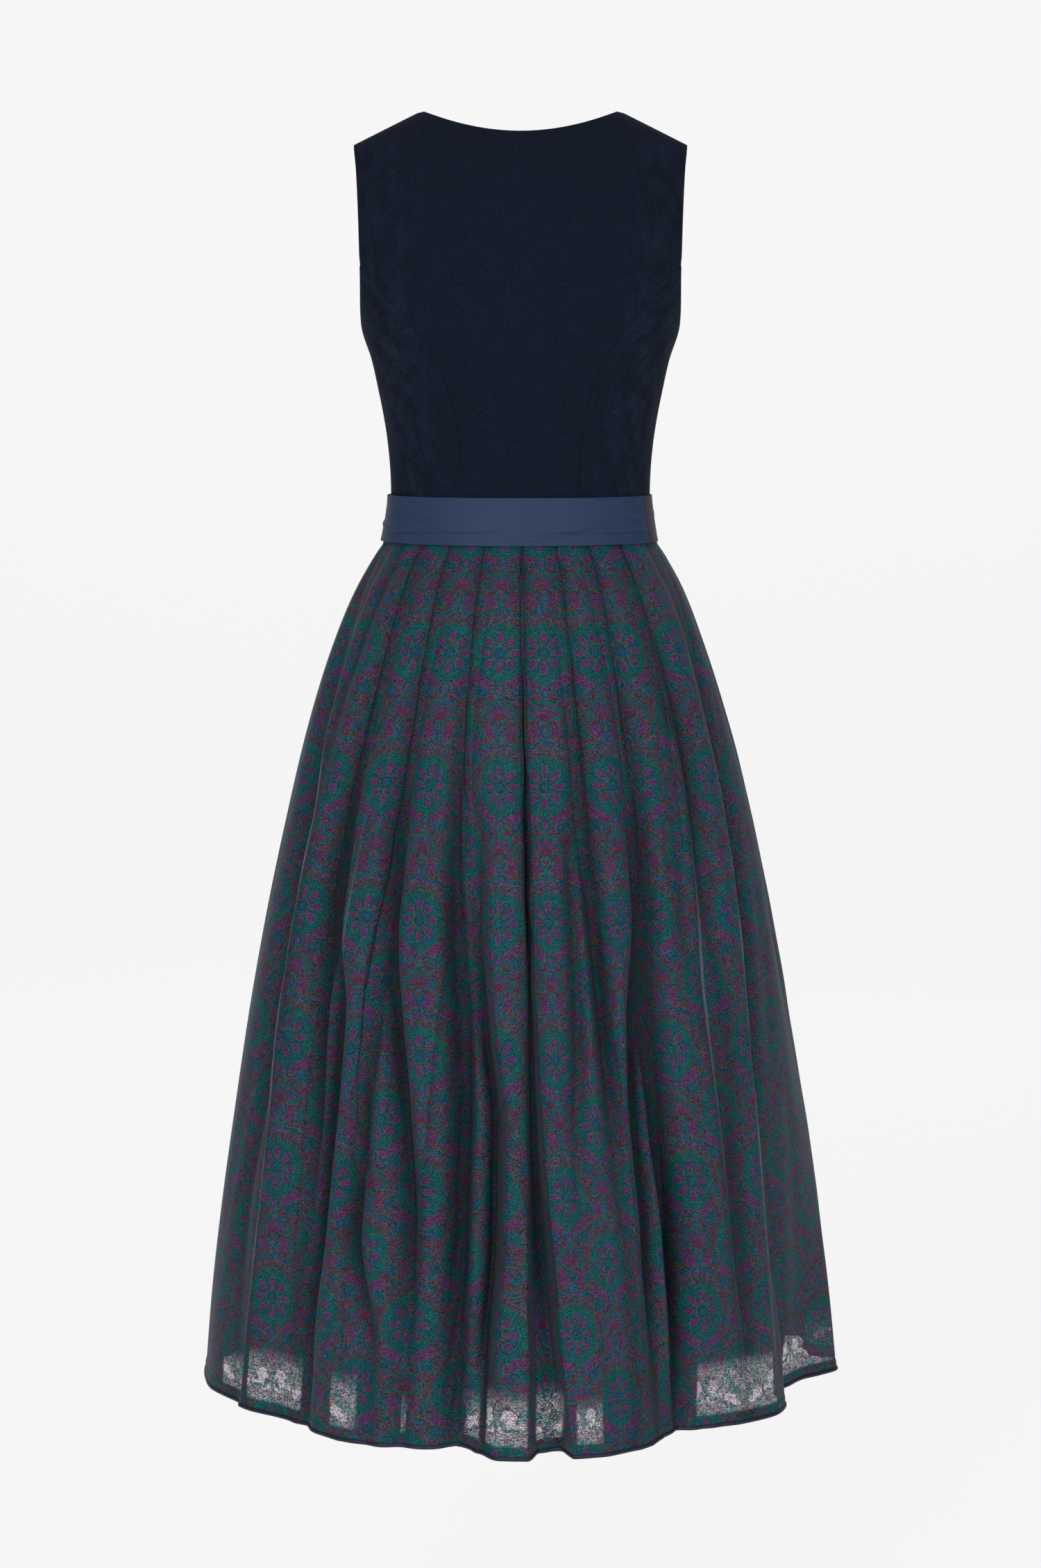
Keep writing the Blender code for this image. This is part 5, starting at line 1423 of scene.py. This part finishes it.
def addPlacket():
    half = 0.5 * closure["width"]
    face = closure["clear"] + bodice["wall"]
    across = half * np.sin(np.linspace(-0.5 * math.pi, 0.5 * math.pi, closure["columns"]))[None, :]
    height = np.linspace(closure["base"], closure["top"], closure["rows"])[:, None]
    line = np.abs(np.abs(across) - (half - closure["stitchIn"]))
    lift = face - closure["grooveDepth"] * np.exp(-(line / closure["grooveWidth"]) ** 2)
    fromEdge = half - np.abs(across)
    lift = lift - closure["edgeDrop"] * ease(1.0 - fromEdge / closure["edgeWidth"])
    lift = lift + closure["unevenness"] * np.sin(height * 150.0)
    points = placketPoints(across, height, lift[..., None])
    gridPiece("placket", points, velvet, "bodice_placket", bodice["wall"], closure["turnedEdge"],
              marks={"brushedAndSheen": np.zeros(points.shape[:2])})

    def outward(at, heights, base):
        return unit(placketPoints(at, heights, face + 0.001) - base)

    parts = []
    for side in (-1.0, 1.0):
        heights = np.linspace(closure["base"] + closure["stitchEndsIn"],
                              closure["top"] - closure["stitchEndsIn"], 90)
        at = np.full(len(heights), side * (half - closure["stitchIn"]))
        edge = placketPoints(at, heights, face - 0.0002)
        outs = outward(at, heights, edge)
        parts.append(stitchesAlong(edge, outs, closure["pitch"], closure["stitchShare"]))
    places = np.linspace(closure["base"] + closure["firstIn"], closure["top"] - closure["lastIn"],
                         closure["buttons"])
    turn = np.linspace(0.0, 2.0 * math.pi, closure["holeStitches"], endpoint=False)
    tall = closure["holeHalf"]
    for height in places:
        # A worked buttonhole: thread laid side by side round the slit that the button passes through
        x = (0.5 * closure["holeLength"] - tall) * np.clip(np.cos(turn) * 1.25, -1.0, 1.0)
        x = x + closure["holeAside"] + tall * 0.5 * np.cos(turn)
        z = height + tall * 0.45 * np.sin(turn)
        inner = placketPoints(x, z, face)
        barred = x + closure["holeBar"] * np.cos(turn) ** 5
        outer = placketPoints(barred, height + tall * np.sin(turn), face)
        parts.append((inner, outer, outward(x, z, inner)))
    addStitches("placketStitches", parts, closure["thread"], satin)
    return places


# Domed buttons with a raised rim and a shallow waist under it
def addButtons(places):
    half = 0.5 * button["thick"]
    angle = np.array([180.0])
    turn = np.linspace(0.0, 2.0 * math.pi, button["sides"], endpoint=False)[:, None]
    for number, height in enumerate(places, 1):
        out = normalsOf(bodyPoints, angle, np.array([height]))[0]
        middle = bodyPoints(angle, np.array([height]))[0]
        middle = middle + out * (closure["clear"] + bodice["wall"] + button["clear"] + half)
        aside, up = acrossOf(out)
        circle = np.cos(turn) * aside + np.sin(turn) * up
        rows = [middle + circle * reach * button["radius"] + out * half * level
                for reach, level in reversed(button["rows"])]
        gridPiece("button%d" % number, np.array(rows), resin, "button_%d" % number, closed=True)


addButtons(addPlacket())
print("closure made")


# The tie's satin and the apron's waistband, both 46 mm wide and double
tie = {
    "clear": 0.0007, "wall": 0.0012, "seamAngle": 68.0, "seamHalf": 0.1, "bandEnd": 290.0,
    "climb": (-50.0, -62.0),    # degrees over which the tie climbs onto the band's end
    "bowAngle": -155.0, "wide": 0.046, "columns": 190, "rows": 28, "edge": 0.0012, "edgeDrop": 0.0003,
    "unevenness": 0.00022, "turnedEdge": 0.0004,
}
# Creases pressed into the tie by wearing: where each lies, its tilt, length and width, and depth in mm
tieCreases = {
    "columns": ("angle", "height", "tilt", "length", "width", "depthMm"),
    "rows": (
        (-61, 0.870, -6, 0.014, 0.0024, -1.04), (-59, 0.861, 8, 0.017, 0.0022, 1.14),
        (-45, 0.854, -4, 0.030, 0.0024, -0.94), (-56, 0.8455, 3, 0.022, 0.0020, 1.04),
        (-34, 0.8610, 3, 0.026, 0.0030, 0.83), (-18, 0.8505, 2, 0.034, 0.0024, -0.73),
        (10, 0.8480, 7, 0.030, 0.0020, -1.14), (30, 0.8535, 9, 0.034, 0.0022, -1.25),
        (31, 0.8575, 9, 0.030, 0.0024, 1.04), (34, 0.8815, -7, 0.016, 0.0030, 1.25),
        (52, 0.8690, 8, 0.012, 0.0022, 1.56), (55, 0.8640, -12, 0.013, 0.0018, -1.14),
        (60, 0.8735, 14, 0.010, 0.0018, -1.04), (60, 0.8560, -7, 0.012, 0.0020, 1.25),
        (44, 0.8480, 4, 0.020, 0.0022, 0.94), (-72, 0.8640, 5, 0.020, 0.0022, 1.14),
        (-88, 0.8560, -6, 0.024, 0.0022, 1.25), (-101, 0.8720, 7, 0.022, 0.0024, -0.94),
        (-118, 0.8620, -5, 0.024, 0.0024, 1.46), (-133, 0.8530, 8, 0.018, 0.0020, -1.04),
        (-139, 0.8700, -10, 0.016, 0.0022, 1.66), (-147, 0.8610, 4, 0.014, 0.0022, 1.87),
        (100, 0.8680, 4, 0.030, 0.0030, 0.83), (140, 0.8540, -3, 0.034, 0.0030, -0.73),
        (182, 0.8650, 3, 0.036, 0.0030, 0.83), (221, 0.8580, -4, 0.030, 0.0030, 0.83),
        (262, 0.8690, 5, 0.028, 0.0026, -0.73),
    ),
}


def strapPoints(start, end, climbing):
    angle = np.linspace(start, end, tie["columns"])[None, :]
    edge = tie["edge"]
    wide = tie["wide"]
    fromEdge = np.array([0.0, 0.35 * edge, edge])
    middle = np.linspace(2.4 * edge, wide - 2.4 * edge, tie["rows"])
    height = np.concatenate([fromEdge, middle, wide - fromEdge[::-1]])[:, None] + dress["tieBottom"]
    lift = tie["clear"] + tie["wall"] + creaseLift(tieCreases, angle, height, bodice["radius"])
    if climbing:
        share = ease((angle - tie["climb"][0]) / (tie["climb"][1] - tie["climb"][0]))
        lift = lift + (tie["wall"] + tie["clear"]) * share
    inside = np.minimum(height - dress["tieBottom"], dress["tieTop"] - height)
    lift = lift + tie["unevenness"] * np.sin(np.radians(angle) * 11.0 + height * 90.0)
    lift = lift - tie["edgeDrop"] * (1.0 - ease(inside / edge))
    angle = np.broadcast_to(angle, lift.shape)
    height = np.broadcast_to(height, lift.shape)
    return waistPoints(angle, height) + normalsOf(waistPoints, angle, height) * lift[..., None]


# The band and the tie meet at one seam. At the left side the tie climbs over the band's other end.
def addTie():
    bandPoints = strapPoints(tie["seamAngle"] + tie["seamHalf"], tie["bandEnd"], False)
    gridPiece("apronBand", bandPoints, taffeta, "apron_waistband", tie["wall"], tie["turnedEdge"])
    tiePoints = strapPoints(tie["bowAngle"], tie["seamAngle"] - tie["seamHalf"], True)
    gridPiece("tieRight", tiePoints, satin, "tie_right", tie["wall"], tie["turnedEdge"])


addTie()


# Bow on the left of the front, hidden in the photograph: knot, two loops and two hanging ends
bow = {
    "height": 0.862, "knotWide": 0.018, "knotTall": 0.026, "knotDeep": 0.013,
    "loopLength": 0.060, "loopStart": 0.0085, "flare": 0.021, "pinch": 0.008, "droop": 0.016,
    "depth": 0.008, "loopClear": 0.0018, "endWide": 0.046, "endPinch": 0.016,
    "loopPleat": 0.0011, "loopRoll": 0.0012, "endPleat": 0.0012, "endRoll": 0.0010, "endHem": 0.0006,
    "knotMesh": (25, 72), "loopMesh": (29, 64), "endMesh": (90, 25),
}
bowEnds = {
    "columns": ("name", "node", "top", "lean", "length", "layer", "phase"),
    "rows": (
        ("bowEndLeft", "bow_end_left", 0.0121, 0.020, 0.36, 0.0100, 0.4),
        ("bowEndRight", "bow_end_right", 0.0123, -0.016, 0.33, 0.0132, 2.1),
    ),
}


def bowBase(distance, height):
    angle = tie["bowAngle"] + np.degrees(distance / bodyWidth(np.maximum(height, dress["tieBottom"])))
    height = np.broadcast_to(height, angle.shape)
    return waistPoints(angle, height), normalsOf(waistPoints, angle, height)


def addKnot(clear):
    centre, out = bowBase(np.array([0.0]), np.array([bow["height"]]))
    out = out[0]
    centre = centre[0] + out * (clear + 0.5 * bow["knotDeep"])
    aside, up = acrossOf(out)
    rings, sides = bow["knotMesh"]
    turn = np.linspace(0.0, 2.0 * math.pi, sides, endpoint=False)
    rows = []
    for share in np.sin(np.linspace(-0.5 * math.pi, 0.5 * math.pi, rings)):
        # The wrapped cloth closes round the loops at both sides, in soft folds that run round the knot
        size = (1.0 - abs(share) ** 3.4) ** (1.0 / 2.6) * 0.97 + 0.03
        fold = 1.0 + 0.045 * np.sin(share * 8.5 + 0.6 * np.sin(turn * 2.0 + 0.5))
        fold = fold + 0.02 * np.sin(turn * 3.0 + share * 5.0)
        ring = np.abs(np.cos(turn)) ** 2.5 + np.abs(np.sin(turn)) ** 2.5
        reach = 0.5 * size * fold / ring ** 0.4
        tall = bow["knotTall"] * (1.0 + 0.10 * share)
        place = centre + aside * share * 0.5 * bow["knotWide"]
        rows.append(place + up * (reach * np.sin(turn) * tall)[:, None]
                    + out * (reach * np.cos(turn) * bow["knotDeep"])[:, None])
    gridPiece("bowKnot", np.array(rows), satin, "bow_knot", closed=True)


def addLoops(clear):
    rows, columns = bow["loopMesh"]
    turn = np.linspace(0.0, math.pi, columns)[None, :]
    share = np.linspace(-1.0, 1.0, rows)[:, None]
    far = np.sin(turn)
    half = bow["pinch"] + (bow["flare"] - bow["pinch"]) * np.minimum(far * 1.4, 1.0) ** 0.8
    height = bow["height"] - bow["droop"] * far ** 1.5 + share * half
    swell = bow["depth"] * (0.3 + 0.7 * np.sin(math.pi * np.minimum(far, 0.9)) ** 0.7)
    outer = 0.12 + 0.88 * ease(0.5 - 0.5 * np.cos(turn))
    for side, way in (("Left", 1.0), ("Right", -1.0)):
        distance = way * (bow["loopStart"] + (bow["loopLength"] - bow["loopStart"]) * far) + 0.0 * share
        lift = clear + bow["loopClear"] + bow["depth"] - swell * np.cos(turn)
        # Pleats fan out from the knot and die away in the loop; they are deeper on its outer layer
        fan = np.cos(share * 9.0 + 1.1 * way + 0.8 * far)
        fan = fan + 0.6 * np.cos(share * 15.0 - 0.7 * way - 1.2 * far)
        lift = lift + bow["loopPleat"] * (fan + 1.0) * (1.0 - 0.8 * far) ** 1.3 * outer
        lift = lift + bow["loopRoll"] * np.sin(share * 3.1 + far * 2.6 + way) * far * outer
        lift = lift - 0.0008 * share ** 6 * outer
        base, normal = bowBase(distance, height)
        points = (base + normal * lift[..., None])[:, ::int(way)]
        gridPiece("bowLoop" + side, points, satin, "bow_loop_" + side.lower(), tie["wall"],
                  tie["turnedEdge"])


def addEnds():
    rows, columns = bow["endMesh"]
    t = np.linspace(1.0, 0.0, rows)[:, None]
    share = np.linspace(-1.0, 1.0, columns)[None, :]
    half = 0.5 * (bow["endPinch"] + (bow["endWide"] - bow["endPinch"]) * np.minimum(t * 3.0, 1.0))
    for name, node, top, lean, length, layer, phase in bowEnds["rows"]:
        height = bow["height"] - top - length * t + 0.0 * share
        middle = lean * (0.35 + 1.4 * t) + 0.0014 * np.sin(t * 7.0 + phase)
        angle = tie["bowAngle"] + np.degrees((middle + share * half) / skirtWidth(height))
        # Folds from the pinch at the knot run down the end and open out; the lower part rolls a little
        lift = layer + bow["endPleat"] * (1.0 + np.cos(share * 7.5 + phase + 1.5 * t)) * np.exp(-t * 2.6)
        lift = lift + bow["endRoll"] * (1.0 + np.sin(share * 2.6 + phase + 5.0 * t)) * ease(t * 2.0)
        lift = lift + bow["endHem"] * np.exp(-((t * length - length + 0.010) / 0.0016) ** 2)
        low = skirtPoints(angle, np.minimum(height, dress["tieBottom"]), lift)
        level = np.full(height.shape, dress["tieBottom"])
        over = skirtPoints(angle, level, lift) - skirtPoints(angle, level, 0.0 * lift)
        over = over + waistPoints(angle, height)
        points = np.where((height > dress["tieBottom"])[..., None], over, low)
        gridPiece(name, points, satin, node, tie["wall"], tie["turnedEdge"])


def addBow():
    clear = 2.0 * (tie["clear"] + tie["wall"]) + tie["clear"]
    addKnot(clear)
    addLoops(clear)
    addEnds()


addBow()
print("tie and bow made")


# Apron over the front, hidden in the photograph: crisp taffeta, gathered into its band
apron = {
    "hem": 0.045, "lift": 0.0034, "wall": 0.0010, "start": 100.2, "end": 259.8, "columns": 260, "rows": 86,
    "follow": 0.45,             # how far the apron sinks into the pleats behind it
    "hemTall": 0.030, "hemLift": 0.0005, "sideHem": 0.010, "sideLift": 0.0004, "hemEdge": 0.0015,
    "sideRadius": 0.27, "gathers": 46, "gatherLift": 0.0006, "gatherFade": 0.060,
    "thread": 0.00024, "pitch": 0.0032, "stitchShare": 0.7, "turnedEdge": 0.0003,
    "topClear": 0.0003, "evenFrom": 0.030,
    "topRows": (0.0, 0.0015, 0.004, 0.007, 0.011, 0.016, 0.022),       # distances below the band
    "lineRows": (-0.0016, 0.0, 0.0016),                                 # and from the hem's stitched line
}
apronCreases = {
    "columns": ("angle", "height", "tilt", "length", "width", "depthMm"),
    "rows": (
        (116, 0.640, 66, 0.120, 0.012, -1.6), (131, 0.470, 78, 0.140, 0.014, -1.8),
        (149, 0.690, 84, 0.110, 0.010, 0.5), (158, 0.330, 80, 0.120, 0.016, -1.8),
        (171, 0.560, 97, 0.130, 0.012, -1.5), (184, 0.240, 92, 0.110, 0.016, -1.8),
        (192, 0.700, 95, 0.090, 0.010, -1.3), (213, 0.300, 101, 0.130, 0.014, -1.6),
        (229, 0.590, 112, 0.120, 0.012, -1.6), (243, 0.420, 104, 0.130, 0.014, -1.8),
        (140, 0.160, 85, 0.080, 0.012, 0.5), (236, 0.150, 98, 0.090, 0.014, -1.4),
    ),
}


def apronPoints(angle, heights):
    knots = []
    for side, edgeAt, edgeRises, tuckAt, tuckRises, *_ in frontFolds()["rows"][2:-2]:
        pair = [(edgeAt[0], edgeRises), (tuckAt[0], tuckRises)]
        knots += pair if side == "left" else pair[::-1]
    knots = sorted(knots, key=lambda knot: knot[0])
    edge = levelCurve(frontPleats["edgeRises"], 0.001)(heights)[:, None]
    rises = np.stack([levelCurve(values, 0.001)(heights) for _, values in knots], axis=1)
    saw = np.stack([np.interp(angle, [at for at, _ in knots], row) for row in rises])
    blur = np.exp(-(np.linspace(-2.0, 2.0, 9)) ** 2)
    padded = np.pad(saw, ((0, 0), (4, 4)), mode="edge")
    soft = np.stack([np.convolve(row, blur / blur.sum(), mode="valid") for row in padded])
    rise = edge + apron["follow"] * (soft - edge)
    below = (dress["tieBottom"] - heights)[:, None]
    down = ease(below / 0.05)
    top = tie["clear"] + tie["wall"] - 0.0001
    lift = top + (apron["lift"] + rise - top) * down
    lift = lift + creaseLift(apronCreases, angle[None], heights[:, None], hangFolds["radius"]) * down
    wander = angle + 0.7 * np.sin(angle * 0.31) + 0.5 * np.sin(angle * 0.83 + 1.0)
    perGather = (apron["end"] - apron["start"]) / apron["gathers"]
    gather = np.sin(2.0 * math.pi * (wander - apron["start"]) / perGather)
    fading = np.exp(-below / apron["gatherFade"]) * ease((below + 0.001) / 0.006)
    lift = lift + apron["gatherLift"] * (gather - 0.2)[None] * fading
    hem = ease((apron["hem"] + apron["hemTall"] - heights) / apron["hemEdge"])[:, None]
    fromSide = np.radians(np.minimum(angle - apron["start"], apron["end"] - angle)) * apron["sideRadius"]
    sideHem = ease((apron["sideHem"] - fromSide) / apron["hemEdge"])[None]
    lift = lift + apron["hemLift"] * hem + apron["sideLift"] * sideHem
    points = skirtPoints(angle[None] + 0.0 * heights[:, None], heights[:, None] + 0.0 * angle[None], lift)
    return hangCreases(points, heights, 0.5)[0]


def addApron():
    angle = np.linspace(apron["start"], apron["end"], apron["columns"])
    top = dress["tieBottom"] - apron["topClear"]
    line = apron["hem"] + apron["hemTall"] + np.array(apron["lineRows"])
    below = np.linspace(apron["hem"], top - apron["evenFrom"], apron["rows"])
    heights = np.sort(np.concatenate([top - np.array(apron["topRows"]), below, line]))
    points = apronPoints(angle, heights)
    gridPiece("apronCloth", points, taffeta, "apron", apron["wall"], apron["turnedEdge"])
    out = unit(np.cross(np.gradient(points, axis=1), np.gradient(points, axis=0)))
    hemRow = int(np.argmin(np.abs(heights - line[0])))
    inset = int(round(apron["sideHem"] / apron["sideRadius"] / math.radians(angle[1] - angle[0]))) - 1
    lines = [(hemRow, slice(None))]
    lines += [(slice(hemRow, -4), place) for place in (inset, apron["columns"] - 1 - inset)]
    parts = [stitchesAlong(points[line], out[line], apron["pitch"], apron["stitchShare"]) for line in lines]
    addStitches("apronStitches", parts, apron["thread"], taffeta)


addApron()
print("apron made")


# Stage, light and camera
stage = {
    "floorBelowHem": 0.45, "wallBehind": 5.5, "curve": 1.6, "reach": 7.0,
    "grey": "#6f6f6f", "pale": "#f6f6f6", "glow": 0.897, "roomLight": 0.12, "room": "#ffffff",
    "cameraBack": 3.20, "cameraHeight": 1.017, "tilt": 7.45, "lens": 74.71, "sensor": 36.0,
}
lights = {
    "columns": ("name", "place", "size", "watts", "toward"),
    "rows": (
        ("large soft light, left", (-1.3, -3.9, 1.0), (1.8, 2.2), 105.0, (0.0, 0.0, -0.6)),
        ("large soft light, right", (1.9, -3.6, 0.6), (1.6, 2.0), 55.0, (0.0, 0.0, -0.6)),
        ("top light", (0.0, -0.6, 2.6), (2.6, 2.0), 25.0, (0.0, 0.1, 0.0)),
    ),
}


def addStage():
    low = -dress["heldAt"] - stage["floorBelowHem"]
    turns = np.linspace(0.0, 0.5 * math.pi, 17)
    profile = [(-stage["reach"], low)]
    profile += [(stage["wallBehind"] - stage["curve"] + stage["curve"] * math.sin(turn),
                 low + stage["curve"] * (1.0 - math.cos(turn))) for turn in turns]
    profile.append((stage["wallBehind"], low + stage["reach"]))
    xs = (-stage["reach"], stage["reach"])
    points = [(x, y, z) for y, z in profile for x in xs]
    faces = [(2 * i, 2 * i + 1, 2 * i + 3, 2 * i + 2) for i in range(len(profile) - 1)]
    mesh = bpy.data.meshes.new("sweep")
    mesh.from_pydata(points, [], faces)
    mesh.shade_smooth()
    sweep = bpy.data.objects.new("sweep", mesh)
    bpy.context.scene.collection.objects.link(sweep)
    # Matt photographic paper: the eye sees one even pale tone
    paper, _, _ = newMaterial("matt paper", {
        "Base Color": linear(stage["grey"]), "Roughness": 0.95, "Specular IOR Level": 0.1,
        "Emission Color": linear(stage["pale"]), "Emission Strength": stage["glow"],
    })
    mesh.materials.append(paper)


def addLight(name, place, size, watts, toward):
    lamp = bpy.data.lights.new(name, "AREA")
    lamp.shape = "RECTANGLE"
    lamp.size, lamp.size_y = size
    lamp.energy = watts
    holder = bpy.data.objects.new(name, lamp)
    bpy.context.scene.collection.objects.link(holder)
    holder.location = place
    way = mathutils.Vector(toward) - mathutils.Vector(place)
    holder.rotation_euler = way.to_track_quat("-Z", "Y").to_euler()


def addCamera():
    lens = bpy.data.cameras.new("camera")
    lens.lens = stage["lens"]
    lens.sensor_width = stage["sensor"]
    camera = bpy.data.objects.new("camera", lens)
    bpy.context.scene.collection.objects.link(camera)
    camera.location = (0.0, -stage["cameraBack"], stage["cameraHeight"] - dress["heldAt"])
    camera.rotation_euler = (math.radians(90.0 - stage["tilt"]), 0.0, 0.0)
    bpy.context.scene.camera = camera


addStage()
for light in lights["rows"]:
    addLight(*light)
world = bpy.context.scene.world or bpy.data.worlds.new("studio")
bpy.context.scene.world = world
world.use_nodes = True
background = world.node_tree.nodes["Background"]
background.inputs["Color"].default_value = linear(stage["room"])
background.inputs["Strength"].default_value = stage["roomLight"]
bpy.context.scene.view_settings.view_transform = "Standard"
addCamera()
